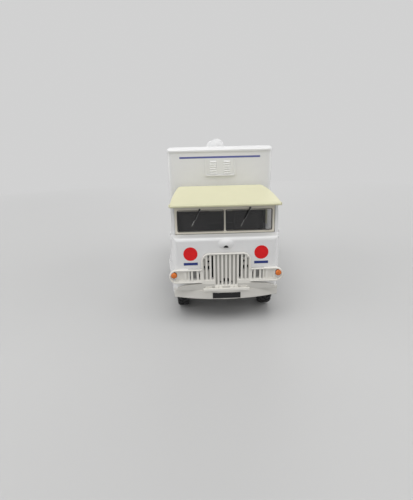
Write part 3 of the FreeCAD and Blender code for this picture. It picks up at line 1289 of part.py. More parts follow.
def box_body():
    """The box: floor, front wall and sides in one, open at the rear, with its roof and windows."""
    outer = profile("BoxOuter", "XY_Plane", box_outline(ZERO), S.box_low_z, S.box_eaves_z)
    inner = profile("BoxInner", "XY_Plane", [
        (S.box_half - S.box_wall, BOX_FRONT + S.box_wall),
        (S.box_half - S.box_wall, BOX_REAR + S.overrun),
        (-S.box_half + S.box_wall, BOX_REAR + S.overrun),
        (-S.box_half + S.box_wall, BOX_FRONT + S.box_wall)],
        S.box_low_z + S.box_wall, S.box_eaves_z + S.overrun)
    face = S.box_half + S.strip_stand
    raised = side_windows("Surround", S.box_half - S.box_wall / 2, face, S.surround_wide)
    for name, low in (("Low", S.box_low_z + S.strip_up), ("Waist", S.box_low_z + S.strip_up + S.strip_apart)):
        raised.append(block("Strip" + name, (S.box_half - S.box_wall / 2, face),
                            (BOX_FRONT + S.strip_inset, BOX_REAR - S.strip_inset), (low, low + S.strip_high)))
    left = fuse("RaisedLeft", *raised)
    walls = fuse("BoxWalls", outer, left, mirror("RaisedRight", left))
    holes = side_windows("WindowHole", S.box_half - S.box_wall * 2, S.box_half + S.overrun)
    mirrored = [mirror(f"WindowHoleRight{number}", hole) for number, hole in enumerate(holes)]
    node("box_body", cut("BoxCut", walls, inner, *holes, *mirrored))
    panes = side_windows("WindowPane", S.box_half - S.box_wall, S.box_half - S.pane_inset)
    left = group("SidePanesLeft", *panes)
    node("side_panes_left", left)
    node("side_panes_right", mirror("SidePanesCopy", left))


def box_roof():
    """The shallow roof tray with sloped edges that hang over the walls."""
    slope = S.roof_chamfer
    edge_z = S.box_eaves_z + S.roof_edge_high
    front = BOX_FRONT - S.roof_overhang
    rear = BOX_REAR + S.roof_overhang
    across = profile("RoofAcross", "XZ_Plane", both_sides([
        (ROOF_HALF, S.box_eaves_z),
        (ROOF_HALF, edge_z),
        (ROOF_HALF - slope, ROOF_TOP_Z)]), front, rear)
    along = profile("RoofAlong", "YZ_Plane", [
        (front, S.box_eaves_z),
        (rear, S.box_eaves_z),
        (rear, edge_z),
        (rear - slope, ROOF_TOP_Z),
        (front + slope, ROOF_TOP_Z),
        (front, edge_z)], -ROOF_HALF, ROOF_HALF)
    plan = profile("RoofPlan", "XY_Plane",
                   rectangle((-ROOF_HALF, ROOF_HALF), (front, rear), S.roof_corner),
                   S.box_eaves_z, ROOF_TOP_Z)
    inset = S.roof_overhang + S.box_wall + slope / 2
    hollow = block("RoofHollow", (-ROOF_HALF + inset, ROOF_HALF - inset), (front + inset, rear - inset),
                   (S.box_eaves_z - S.overrun, ROOF_TOP_Z - S.roof_wall))
    node("box_roof", cut("RoofCut", common("RoofForm", across, along, plan), hollow))


def roof_ventilator():
    """The ventilator on the roof: a main dome with a smaller one at its side."""
    place = NOSE + S.dome_place
    domes = []
    for name, radius, high, across, along in (
            ("VentilatorDome", S.dome_radius, S.dome_high, S.dome_x, place),
            ("VentilatorLobe", S.lobe_radius, S.lobe_high, -S.lobe_x, place + S.lobe_back)):
        ball = doc.addObject("Part::Sphere", name)
        bind(ball, "Radius", radius)
        domes.append(move(ball, (across, along, ROOF_TOP_Z + high - radius)))
    reach = S.dome_radius * 2
    room = block("VentilatorRoom", (-reach, reach), (place - reach, place + reach),
                 (ROOF_TOP_Z, ROOF_TOP_Z + S.dome_high))
    node("roof_ventilator", common("VentilatorForm", fuse("VentilatorDomes", *domes), room))


def front_vent():
    """The vent on the box's front wall: a rimmed plate with two columns of raised louvres."""
    vent_top = S.box_eaves_z - S.vent_drop
    vent_low = vent_top - S.vent_high
    face = BOX_FRONT - S.vent_thick
    plate = face + S.vent_sunk
    body = profile("VentBody", "XZ_Plane", both_sides([
        (S.vent_half, vent_low, S.vent_round),
        (S.vent_half, vent_top)]), face, BOX_FRONT)
    pocket(body, face, S.vent_sunk, both_sides([
        (S.vent_half - S.vent_rim, vent_low + S.vent_rim, S.vent_round - S.vent_rim),
        (S.vent_half - S.vent_rim, vent_top + S.overrun)]))
    louvres = []
    for number in range(LOUVRES):
        low = vent_low + S.louvre_first + S.louvre_pitch * number
        louvres.append(profile(f"Louvre{number}", "YZ_Plane", [
            (plate - S.louvre_stand, low), (BOX_FRONT, low), (BOX_FRONT, low + S.louvre_high),
            (plate, low + S.louvre_high)],
            S.louvre_inner_x, S.louvre_inner_x + S.louvre_wide))
    left = fuse("LouvresLeft", *louvres)
    node("front_vent", fuse("VentFused", body, left, mirror("LouvresRight", left)))


# Rear doors and rear end

def rear_doors():
    """A pair of hinged rear doors, each with knuckles, straps, window pane and handle."""
    face = BOX_REAR + S.door_proud
    back = face - S.door_thick
    low = S.box_low_z + S.box_wall + S.door_gap
    high = S.box_eaves_z - S.door_gap
    outer = S.box_half - S.box_wall - S.door_gap
    inner = S.door_gap / 2
    pin_x = S.box_half - S.hinge_x_inset
    pin_y = face + S.hinge_stand
    panel = profile("DoorPanel", "XZ_Plane", rectangle((inner, outer), (low, high)), back, face)
    middle = (inner + outer) / 2
    glass = rectangle((middle - S.door_window_half, middle + S.door_window_half),
                      (WINDOW_TOP_Z - S.door_window_high, WINDOW_TOP_Z), S.window_round)
    pocket(panel, back, None, glass)
    pieces = [panel]
    bores = []
    pins = []
    for name, bottom in (("Low", low + S.hinge_low), ("High", high - S.hinge_high)):
        top = bottom + S.knuckle_high
        pieces.append(rod("Knuckle" + name, "Z", (pin_x, pin_y), S.knuckle_radius, bottom, top))
        pieces.append(block("Strap" + name, (pin_x - S.strap_long, pin_x), (face, face + S.strap_thick),
                            (bottom, top)))
        bores.append(rod("KnuckleBore" + name, "Z", (pin_x, pin_y), S.pin_radius + S.pin_play,
                         bottom - S.overrun, top + S.overrun))
        start = bottom - S.lug_gap - S.lug_high
        end = top + S.lug_gap + S.lug_high
        parts = [rod("Pin" + name, "Z", (pin_x, pin_y), S.pin_radius, start, end)]
        for spot, (foot, crown) in (("Under", (start, start + S.lug_high)),
                                    ("Over", (end - S.lug_high, end))):
            parts.append(rod(f"Lug{name}{spot}", "Z", (pin_x, pin_y), S.knuckle_radius, foot, crown))
            parts.append(block(f"LugFoot{name}{spot}", (S.box_half - S.box_wall, pin_x + S.knuckle_radius),
                               (BOX_REAR, pin_y), (foot, crown)))
        pins.append(fuse("Hinge" + name, *parts))
    start = inner + S.handle_in
    foot = low + S.handle_up
    pieces.append(block("HandleBar", (start, start + S.handle_long),
                        (face + S.handle_stand, face + S.handle_stand + S.handle_thick),
                        (foot, foot + S.handle_thick)))
    pieces.append(block("HandleFoot", (start, start + S.handle_thick), (face, face + S.handle_stand),
                        (foot, foot + S.handle_thick)))
    door = cut("DoorCut", fuse("DoorFused", *pieces), *bores)
    node("rear_door_left", door)
    node("rear_door_right", mirror("DoorCopy", door))
    pane = profile("DoorPane", "XZ_Plane", glass, back + S.pane_thick, back + S.pane_thick * 2)
    node("rear_door_pane_left", pane)
    node("rear_door_pane_right", mirror("DoorPaneCopy", pane))
    hinge = group("HingePair", *pins)
    node("door_hinges", group("HingeSets", hinge, mirror("HingeCopy", hinge)))


def rear_end():
    """Rear beam with lamps, towing eye, mudguards and step."""
    beam_front = BEAM_BACK - S.beam_thick
    beam_half = S.box_half - S.beam_inset
    beam = block("Beam", (-beam_half, beam_half), (beam_front, BEAM_BACK), (S.beam_low_z, BEAM_TOP))
    node("rear_beam", beam)
    eye_y = REAR - S.eye_radius
    eye_top = S.eye_z + S.eye_thick
    eye = fuse("EyeSolid", rod("EyeRing", "Z", (ZERO, eye_y), S.eye_radius, S.eye_z, eye_top),
               block("EyeArm", (-S.eye_arm_half, S.eye_arm_half), (BEAM_BACK, eye_y), (S.eye_z, eye_top)))
    bore = rod("EyeBore", "Z", (ZERO, eye_y), S.eye_bore, S.eye_z - S.overrun, eye_top + S.overrun)
    node("towing_eye", cut("EyeCut", eye, bore))
    lamp = rod("TailLamp", "Y", (beam_half - S.tail_lamp_in, (S.beam_low_z + BEAM_TOP) / 2),
               S.tail_lamp_radius, BEAM_BACK, BEAM_BACK + S.tail_lamp_long)
    node("tail_lamps", group("TailLampPair", lamp, mirror("TailLampCopy", lamp)))
    guard_inner = WHEEL_X - S.tyre_width / 2 - S.guard_reach
    guard_outer = S.box_half - S.guard_inset
    centre = (REAR_AXLE, AXLE_Z)
    outer = rod("GuardOuter", "X", centre, GUARD_RADIUS, guard_inner, guard_outer)
    within = rod("GuardInner", "X", centre, GUARD_RADIUS - S.guard_thick,
                 guard_inner - S.overrun, guard_outer + S.overrun)
    room = block("GuardRoom", (guard_inner, guard_outer),
                 (REAR_AXLE - GUARD_RADIUS, REAR_AXLE + GUARD_RADIUS),
                 (S.box_low_z - S.guard_drop, S.box_low_z))
    guard = common("GuardForm", cut("GuardRing", outer, within), room)
    node("mudguard_left", guard)
    node("mudguard_right", mirror("GuardCopy", guard))
    step_z = S.beam_low_z - S.step_drop
    plate = block("StepPlate", (-S.step_half, S.step_half), (BEAM_BACK - S.step_deep, BEAM_BACK),
                  (step_z, step_z + S.step_thick))
    arm = block("StepArm", (S.step_half - S.step_arm, S.step_half), (beam_front, BEAM_BACK),
                (step_z, S.beam_low_z))
    node("rear_step", fuse("StepFused", plate, arm, mirror("StepArmCopy", arm)))


# Putting the truck together

def build():
    """Makes every sub-part."""
    for end, place, way in (("front", FRONT_AXLE, 1), ("rear", REAR_AXLE, -1)):
        wheels(end, place)
        axle_tube(end, place, way)
        leaf_spring(end, place)
    drive()
    frame()
    tank_and_locker()
    exhaust()
    cab_outer = cab_shell()
    bumper()
    valance(cab_outer)
    grille()
    lamps()
    nose_boss(cab_outer)
    cab_top()
    windscreen()
    cab_inside()
    box_body()
    box_roof()
    roof_ventilator()
    front_vent()
    rear_doors()
    rear_end()
    doc.recompute()


def check():
    """Stops if a feature failed, a cut took nothing away or a sub-part has no valid shape."""
    for thing in doc.Objects:
        if "Invalid" in thing.State or "Error" in thing.State:
            raise RuntimeError(f"{thing.Name} ({thing.Label}) failed: {thing.State}")
    for feature in cuts:
        if feature.Shape.Volume >= feature.BaseFeature.Shape.Volume:
            raise RuntimeError(f"{feature.Name} takes nothing away")
    for thing in nodes:
        if thing.Shape.isNull() or not thing.Shape.isValid() or not thing.Shape.Solids:
            raise RuntimeError(f"{thing.Label} has no valid solid")


build()
check()
os.makedirs("parts", exist_ok=True)
for thing in nodes:
    thing.Shape.exportStep(f"parts/{thing.Label}.step")
    box = thing.Shape.BoundBox
    print(f"{thing.Label}: {len(thing.Shape.Solids)} solid(s), {thing.Shape.Volume:.1f} mm3, "
          f"x {box.XMin:.2f}..{box.XMax:.2f}, y {box.YMin:.2f}..{box.YMax:.2f}, "
          f"z {box.ZMin:.2f}..{box.ZMax:.2f}")
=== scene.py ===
"""The looks of the toy ambulance truck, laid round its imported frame. Metres, +Z up, nose towards -Y.

Each fitting is drawn in millimetres, as the toy's maker would, and made in metres."""
import math
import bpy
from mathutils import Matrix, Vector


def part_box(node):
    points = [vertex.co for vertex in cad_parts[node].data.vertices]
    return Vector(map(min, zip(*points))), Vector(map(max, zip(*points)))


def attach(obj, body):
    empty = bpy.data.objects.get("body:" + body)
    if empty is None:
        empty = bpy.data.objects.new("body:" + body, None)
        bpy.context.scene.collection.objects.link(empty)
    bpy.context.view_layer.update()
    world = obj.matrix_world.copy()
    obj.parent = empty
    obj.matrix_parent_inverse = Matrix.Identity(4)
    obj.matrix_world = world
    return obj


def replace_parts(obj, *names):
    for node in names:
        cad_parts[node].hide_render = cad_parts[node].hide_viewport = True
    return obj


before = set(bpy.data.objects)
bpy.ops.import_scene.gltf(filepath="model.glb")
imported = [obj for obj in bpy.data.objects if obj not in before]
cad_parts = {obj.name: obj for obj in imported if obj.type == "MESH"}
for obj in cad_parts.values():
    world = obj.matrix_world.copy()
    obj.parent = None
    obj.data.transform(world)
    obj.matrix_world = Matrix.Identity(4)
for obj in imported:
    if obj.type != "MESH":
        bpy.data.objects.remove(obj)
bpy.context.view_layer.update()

from types import SimpleNamespace

import bmesh
import bpy
from mathutils import Matrix, Vector

bl_info = {
    "name": "Toy Ambulance Truck",
    "version": (1, 0, 0),
    "blender": (4, 5, 0),
    "location": "View3D > Sidebar > Ambulance",
    "description": "Builds the paint, markings, tyres and small fittings of a die-cast toy ambulance truck",
    "category": "Object",
}

MM = 0.001
ENDS = ("front", "rear")
SIDES = (("left", 1), ("right", -1))
WAYS = (1, -1)
WHEELS = [(end, side, way) for end in ENDS for side, way in SIDES]
UP = Vector((0, 0, 1))
BACK = Vector((0, 1, 0))
LEFT = Vector((1, 0, 0))

# Turned forms as shares of their height and radius
DOME_SHARES = (0, 1), (0.55, 0.86), (0.9, 0.5), (1, 0)
NUT_SHARES = (0, 1), (0.8, 1), (1, 0.75), (1, 0)
DISC_SHARES = (0, 1), (1, 1), (1, 0)


def length(name, description, millimetres):
    """A size in millimetres that a user may change."""
    return bpy.props.FloatProperty(name=name, description=description, default=millimetres * MM,
                                   unit="LENGTH", subtype="DISTANCE", precision=5)


def colour(name, description, value):
    """A colour that a user may change."""
    return bpy.props.FloatVectorProperty(name=name, description=description, default=value,
                                         subtype="COLOR", min=0.0, max=1.0, size=3)


class TruckSizes(bpy.types.PropertyGroup):
    """Sizes of what is added round the frame."""

    disc: length("Disc", "Diameter of the plain red discs on the nose", 5.6)
    disc_x: length("Disc place", "Middle of a disc from the truck's middle", 14.04)
    disc_z: length("Disc height", "Height of the discs", 30.05)
    bar_long: length("Bar length", "Blue bar under a disc", 5.6)
    bar_high: length("Bar height", "Blue bar under a disc", 1.1)
    bar_z: length("Bar place", "Height of the blue bars", 25.9)
    stripe_high: length("Stripe height", "Blue stripe across the front of the box", 0.8)
    stripe_z: length("Stripe place", "Height of the blue stripe", 65.9)
    stripe_half: length("Stripe half length", "Half the length of the blue stripe", 18.4)
    paint_film: length("Paint film", "How far a marking stands out from the paint under it", 0.03)
    rim_bead: length("Grille rim", "Radius of the bead round the grille", 0.34)
    rivet: length("Rivet", "Radius of a rivet head", 0.28)
    rivet_high: length("Rivet height", "How far a rivet head stands out", 0.11)
    seam: length("Seam", "Width of a raised seam", 0.7)
    seam_high: length("Seam height", "How far a raised seam stands out", 0.12)
    seal: length("Window seal", "Width of the rubber round a window", 0.3)
    nut: length("Wheel nut", "Radius of a wheel nut", 0.45)
    lug_deep: length("Tread depth", "Depth of the tyre tread", 0.55)


class TruckColours(bpy.types.PropertyGroup):
    """Colours of the paints and plastics."""

    white: colour("White", "Gloss paint of cab and box", (0.82, 0.82, 0.82))
    trim: colour("Trim", "Satin paint of grille and bumper", (0.84, 0.82, 0.765))
    cream: colour("Cab top", "Khaki-cream moulding", (0.74, 0.72, 0.50))
    beige: colour("Windscreen frame", "Beige moulding", (0.80, 0.755, 0.65))
    black: colour("Frame", "Black moulding", (0.018, 0.018, 0.018))
    rubber: colour("Tyres", "Tyre rubber", (0.022, 0.022, 0.023))
    dust: colour("Dust", "Pale dust on the tyres", (0.11, 0.10, 0.09))
    red: colour("Red", "Red marking", (0.80, 0.010, 0.013))
    blue: colour("Blue", "Blue marking", (0.03, 0.05, 0.22))
    pale_blue: colour("Pale blue", "Stripe on the box", (0.13, 0.15, 0.38))
    plate: colour("Plate", "Black of the number plate", (0.015, 0.015, 0.016))
    orange: colour("Indicators", "Orange lens", (0.80, 0.185, 0.008))
    ruby: colour("Rear lamps", "Red lens", (0.45, 0.01, 0.01))
    # Nearly white, so the side lamp lenses also show as the painted glint under the indicators.
    bright: colour("Side lamps", "Clear lens", (0.82, 0.83, 0.82))
    steel: colour("Steel", "Drawn steel", (0.62, 0.61, 0.6))
    lamp: colour("Headlamps", "Plating behind the bars", (0.22, 0.22, 0.21))
    # Also painted as shade on the cab shell and cab top where they face into the cab.
    inside: colour("Cab inside", "Dark moulding of seats and dashboard", (0.05, 0.045, 0.042))
    steering: colour("Steering wheel", "Slate-blue moulding", (0.11, 0.12, 0.19))
    glass: colour("Cab glass", "Dark tint of the windscreen", (0.03, 0.03, 0.032))
    frosted: colour("Box glass", "Frosted panes of box and doors", (0.50, 0.54, 0.55))
    floor: colour("Floor", "Studio floor", (0.57, 0.57, 0.567))


def drawn_sizes(context):
    """The sizes that a user may change, in millimetres."""
    sizes = context.scene.truck_sizes
    return SimpleNamespace(**{name: getattr(sizes, name) / MM for name in TruckSizes.__annotations__})


def span(node):
    """The lowest and the highest corner of one of the frame's nodes, in millimetres."""
    return [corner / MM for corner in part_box(node)]


def middle(node):
    """The middle of one of the frame's nodes, in millimetres."""
    low, high = span(node)
    return (low + high) / 2


def reach(node):
    """Half the size of one of the frame's nodes, in millimetres."""
    low, high = span(node)
    return (high - low) / 2


class Signal:
    """A shader socket that takes part in Python arithmetic through Math nodes."""

    def __init__(self, socket):
        self.socket = socket

    def maths(self, operation, *values):
        node = self.socket.id_data.nodes.new("ShaderNodeMath")
        node.operation = operation
        for slot, value in zip(node.inputs, values):
            feed(slot, value)
        return Signal(node.outputs[0])

    def __add__(self, other):
        return self.maths("ADD", self, other)

    def __sub__(self, other):
        return self.maths("SUBTRACT", self, other)

    def __rsub__(self, other):
        return self.maths("SUBTRACT", other, self)

    def __mul__(self, other):
        return self.maths("MULTIPLY", self, other)

    __radd__ = __add__
    __rmul__ = __mul__

    def __abs__(self):
        return self.maths("ABSOLUTE", self)

    def __gt__(self, level):
        return self.maths("GREATER_THAN", self, level)

    def __lt__(self, level):
        return self.maths("LESS_THAN", self, level)

    def at_least(self, other):
        return self.maths("MAXIMUM", self, other)

    def clamped(self):
        return self.maths("MINIMUM", self, 1.0).at_least(0.0)


def feed(slot, value):
    """Joins a signal to a socket, or sets the socket's own value."""
    if isinstance(value, Signal):
        slot.id_data.links.new(value.socket, slot)
    else:
        slot.default_value = value


class Nodes:
    """Makes and joins the nodes of one tree."""

    def __init__(self, tree):
        self.tree = tree
        self.tree.nodes.clear()

    def node(self, kind, settings=None, sockets=None):
        """A node of any kind: its settings first, then the values or links of its sockets."""
        node = self.tree.nodes.new("ShaderNode" + kind)
        for key, value in (settings or {}).items():
            if key == "stops":
                self.set_stops(node.color_ramp, value)
            else:
                setattr(node, key, value)
        for name, value in (sockets or {}).items():
            feed(node.inputs[name], value)
        return node

    def signal(self, output, kind, settings=None, sockets=None):
        """One output of a new node, by its name or number."""
        return Signal(self.node(kind, settings, sockets).outputs[output])

    def set_stops(self, ramp, stops):
        """Places a ramp's stops from (position, grey) pairs."""
        for element, (position, grey) in zip(ramp.elements, stops):
            element.position = position
            element.color = (grey, grey, grey, 1.0)

    def seen(self):
        """1 for the camera, for reflections and for what shows through glass, 0 for light on surfaces."""
        rays = ("Is Camera Ray", "Is Glossy Ray", "Is Transmission Ray")
        outputs = self.node("LightPath").outputs
        camera, glossy, through = (Signal(outputs[ray]) for ray in rays)
        return camera.at_least(glossy).at_least(through)


class Finish(Nodes):
    """One procedural material."""

    def __init__(self, name):
        self.material = bpy.data.materials.new(name)
        self.material.use_nodes = True
        super().__init__(self.material.node_tree)
        self.place = self.signal("Object", "TexCoord")

    def noise(self, scale, detail=2.0, roughness=0.5, stretch=None):
        """Noise from 0 to 1; scale is features in one metre."""
        place = self.place
        if stretch:
            place = self.signal(0, "Mapping", {}, {"Vector": place, "Scale": stretch})
        return self.signal(0, "TexNoise", {}, {
            "Vector": place, "Scale": scale, "Detail": detail, "Roughness": roughness})

    def cells(self, feature, scale):
        """The distance in a pattern of small cells."""
        sockets = {"Vector": self.place, "Scale": scale}
        return self.signal("Distance", "TexVoronoi", {"feature": feature}, sockets)

    def specks(self, scale, size, patches, level):
        """Small round specks that lie in patches, from 0 to 1."""
        stops = [(0.0, 1.0), (size, 0.0)]
        dots = self.signal(0, "ValToRGB", {"stops": stops}, {"Fac": self.cells("F1", scale)})
        return dots * (self.noise(patches) > level)

    def mix(self, factor, low, high):
        """One colour passing into another."""
        low, high = (value if isinstance(value, Signal) else (*value, 1.0) for value in (low, high))
        return self.signal(2, "Mix", {"data_type": "RGBA"}, {0: factor, 6: low, 7: high})

    def waver(self, factor, tone, least, most):
        """A colour between two shares of its own lightness."""
        return self.mix(factor, shade(tone, least), shade(tone, most))

    def bump(self, height, strength, deep, edge=0.16 * MM):
        """A normal roughened by a height signal, with softened edges."""
        soft = self.signal(0, "Bevel", {"samples": 4}, {"Radius": edge})
        return self.signal(0, "Bump", {}, {
            "Height": height, "Strength": strength, "Distance": deep, "Normal": soft})

    def parts(self):
        """The place across, along and up the truck, as three signals."""
        outputs = self.node("SeparateXYZ", {}, {0: self.place}).outputs
        return [Signal(outputs[axis]) for axis in ("X", "Y", "Z")]

    def facing_in(self, half_wide, front, low):
        """1 on the surfaces that face the middle of the cab, within a half width, front and low limit."""
        heart = Vector((0, -34, 30)) * MM
        outward = self.signal(0, "VectorMath", {"operation": "SUBTRACT"}, {0: self.place, 1: heart})
        normal = self.signal("True Normal", "NewGeometry")
        away = self.signal("Value", "VectorMath", {"operation": "DOT_PRODUCT"}, {0: outward, 1: normal})
        across, along, up = self.parts()
        return (away < 0.0) * (abs(across) < half_wide * MM) * (along > front * MM) * (up > low * MM)

    def shader(self, **sockets):
        """A Principled shader; underscores in names stand for spaces."""
        named = {name.replace("_", " "): value for name, value in sockets.items()}
        return self.node("BsdfPrincipled", {}, named)

    def end(self, shader):
        """Ends the material in a shader."""
        self.node("OutputMaterial", {}, {0: Signal(shader.outputs[0])})
        return self.material

    def close(self, tint, rough, height, strength, deep=0.1 * MM, **sockets):
        """Ends the material in one Principled shader, roughened by a height signal."""
        normal = self.bump(height, strength, deep)
        return self.end(self.shader(Base_Color=tint, Roughness=rough, Normal=normal, **sockets))


def shade(tone, share):
    """A colour made darker or lighter by a share."""
    return tuple(min(1.0, channel * share) for channel in tone)


def enamel(name, tone, gloss=0.22, coat=0.5, inside_shade=None, proud=None):
    """Sprayed enamel on die-cast metal: slight clouding, dust specks and orange peel.

    The colour inside the cab is painted shade on the surfaces that face into the cab, and proud is the colour
    of what stands out from the valance, kept clear of the valance's painted shade."""
    finish, proud_from = Finish(name), -50.64 * MM
    cloud = finish.noise(90.0, detail=3.0)
    grime = (finish.noise(160.0, detail=5.0, roughness=0.65) - 0.5).clamped() * 0.5
    specks = finish.specks(900.0, size=0.06, patches=300.0, level=0.56)
    tint = finish.waver(cloud, tone, least=0.965, most=1.03)
    tint = finish.mix(grime, tint, shade(tone, 0.80))
    tint = finish.mix(specks * 0.35, tint, shade(tone, 0.45))
    # Painted shade: the surfaces that face into the cab take the dark inside colour.
    if inside_shade:
        tint = finish.mix(finish.facing_in(half_wide=20.05, front=-48.5, low=23.9), tint, inside_shade)
    # Painted shade: the valance's darker tone stops where its parts stand out in front of it, which keep the
    # unshaded colour.
    if proud:
        tint = finish.mix(finish.parts()[1] < proud_from, tint, proud)
    rough = cloud * 0.10 + (gloss - 0.05) + grime * 0.2
    return finish.close(tint, rough, finish.noise(2600.0, detail=1.0), strength=0.1, Coat_Weight=coat,
                        Coat_Roughness=0.2, IOR=1.5)


def recess_shaded_enamel(name, tone):
    """Satin enamel with painted shade in the grille's recesses: darker the further back a surface lies,
    lighter among the middle bars and none beyond the bars.
    """
    bars, middle_bars, recess_shade_from, recess_shade_deep = 15.2 * MM, 10.0 * MM, -50.34 * MM, 0.42 * MM
    finish = Finish(name)
    cloud = finish.noise(90.0, detail=3.0)
    across, along = finish.parts()[:2]
    share = 0.8 + 0.2 * (abs(across) > middle_bars)
    # Painted shade: darkens the grille's recessed surfaces as they lie further back.
    recess_shade = ((along - recess_shade_from) * (1 / recess_shade_deep)).clamped() * (abs(across) < bars) * share
    tint = finish.mix(recess_shade, finish.waver(cloud, tone, least=0.965, most=1.03), shade(tone, 0.42))
    rough = cloud * 0.1 + 0.3 + recess_shade * 0.2
    return finish.close(tint, rough, finish.noise(2600.0, detail=1.0), strength=0.1, Coat_Weight=0.25,
                        Coat_Roughness=0.12)


def moulding(name, tone, rough, grain=0.25, inside_shade=None):
    """Matt moulded plastic: fine grain, faint flow marks and handling shine; painted shade on the surfaces
    that face into the cab.
    """
    finish = Finish(name)
    flow = finish.noise(70.0, detail=4.0, roughness=0.6, stretch=(1.0, 0.35, 1.0))
    rub = finish.noise(420.0, detail=3.0)
    specks = finish.specks(700.0, size=0.05, patches=260.0, level=0.58)
    tint = finish.mix(specks * 0.5, finish.waver(flow, tone, least=0.93, most=1.06), shade(tone, 0.55))
    # Painted shade: the surfaces that face into the cab take the dark inside colour.
    if inside_shade:
        tint = finish.mix(finish.facing_in(half_wide=20.4, front=-48.2, low=35.6), tint, inside_shade)
    return finish.close(tint, rub * 0.14 + (rough - 0.07), finish.noise(5000.0), strength=grain, IOR=1.46)


def rubber(name, tone, dust_tone):
    """Tyre rubber, dull, with pale dust in the low places."""
    finish = Finish(name)
    dust = (finish.noise(240.0, detail=5.0, roughness=0.65) - 0.42).clamped() * 1.6
    tint = finish.mix(dust.clamped() * 0.2, tone, dust_tone)
    return finish.close(tint, dust * 0.15 + 0.62, finish.noise(3800.0, detail=3.0), strength=0.35)


def bright_steel(name, tone, rough=0.28):
    """Drawn steel with fine lines along it."""
    finish = Finish(name)
    lines = finish.noise(2400.0, stretch=(0.08, 1.0, 1.0))
    tint = finish.waver(lines, tone, least=0.85, most=1.0)
    return finish.close(tint, lines * 0.2 + (rough - 0.1), lines, strength=0.15, Metallic=1.0)


def glazing(name, tone, rough, alpha):
    """Moulded glazing: clear or frosted, with faint smears."""
    finish = Finish(name)
    smear = finish.noise(130.0, detail=4.0, roughness=0.6, stretch=(1.0, 1.0, 0.4))
    tint = finish.waver(smear, tone, least=0.9, most=1.0)
    return finish.close(tint, smear * 0.12 + rough, finish.noise(700.0), strength=0.05,
                        Alpha=smear * 0.08 + alpha, Coat_Weight=0.6, IOR=1.49)


def lens(name, tone):
    """Transparent coloured lens with moulded flutes."""
    finish = Finish(name)
    sockets = {"Vector": finish.place, "Scale": 620.0}
    flutes = finish.signal("Fac", "TexWave", {"bands_direction": "X"}, sockets)
    tint = finish.waver(flutes, tone, least=0.8, most=1.1)
    return finish.close(tint, flutes * 0.06 + 0.16, flutes, strength=0.3, deep=0.08 * MM, Coat_Weight=0.5)


def print_paint(name, tone):
    """Pad-printed marking: satin ink with a slightly broken cover."""
    finish = Finish(name)
    cover = finish.noise(1500.0, detail=3.0)
    tint = finish.waver(cover, tone, least=0.86, most=1.1)
    return finish.close(tint, cover * 0.12 + 0.4, cover, strength=0.12, Specular_IOR_Level=0.3)


def grained(name, tone):
    """Moulded plastic with the grain of upholstery cloth."""
    finish = Finish(name)
    grain = finish.cells("DISTANCE_TO_EDGE", 1500.0)
    tint = finish.waver(finish.noise(200.0, detail=3.0), tone, least=0.85, most=1.25)
    return finish.close(tint, grain * 0.2 + 0.48, grain, strength=0.5)


FINISHES = {}

PAINTED = {
    "cab_white": ["cab_shell"],
    "white": ["box_body", "box_roof", "front_vent", "rear_door_left", "rear_door_right", "nose_boss"],
    "ventilator": ["roof_ventilator"],
    "grille": ["grille"],
    "bumper": ["bumper"],
    "valance": ["valance"],
    "cream": ["cab_top"],
    "beige": ["windscreen_frame"],
    "clear": ["windscreen_panes"],
    "frosted": ["side_panes_left", "side_panes_right", "rear_door_pane_left", "rear_door_pane_right"],
    "black": ["frame", "front_axle_tube", "rear_axle_tube", "front_springs", "rear_springs",
              "transfer_gearbox", "propeller_shafts", "fuel_tank", "tool_locker", "exhaust", "mudguard_left",
              "mudguard_right", "rear_step", "rear_beam", "towing_eye", "wipers"],
    "inside": ["engine_cover", "dashboard"],
    "steering": ["steering_wheel"],
    "seat": ["seat_left", "seat_right"],
    "steel": ["front_axle", "rear_axle", "door_hinges"],
    "trim": [f"{end}_hub_{side}" for end, side, _ in WHEELS],
    "rubber": [f"{end}_tyre_{side}" for end, side, _ in WHEELS],
    "lamp": ["headlamps"],
    "orange": ["indicators"],
    "ruby": ["tail_lamps"],
    "plate": ["number_plate"],
}


def arc(centre, radii, start, sweep, steps):
    """Points round a centre, as (across, up) pairs, from a start angle over a sweep."""
    turns = [start + sweep * step / steps for step in range(steps + 1)]
    return [(centre[0] + radii[0] * math.cos(turn), centre[1] + radii[1] * math.sin(turn)) for turn in turns]


def rounded(half_wide, half_high, radius, steps=5):
    """A rounded rectangle as (across, up) pairs."""
    points = []
    for turn, (across, up) in enumerate(((1, 1), (-1, 1), (-1, -1), (1, -1))):
        corner = (across * (half_wide - radius), up * (half_high - radius))
        points += arc(corner, (radius, radius), turn * math.pi / 2, math.pi / 2, steps)
    return points


def mirrored(line):
    """A line of (across, other) pairs and its mirror image, end to end."""
    return line + [(-across, other) for across, other in reversed(line)]


def spoke(turn, across=BACK):
    """The direction at an angle round an axle, or round a shaft where across is LEFT."""
    return across * math.sin(turn) + UP * math.cos(turn)


def spokes(count, offset=0.0, across=BACK):
    """Directions evenly round an axle or a shaft."""
    return [spoke(turn, across) for turn in row(math.tau * offset / count, math.tau / count, count)]


def row(first, pitch, count):
    """Evenly spaced places."""
    return [first + pitch * number for number in range(count)]


def both(place, offset):
    """The two places that far before and after a place."""
    return place - offset, place + offset


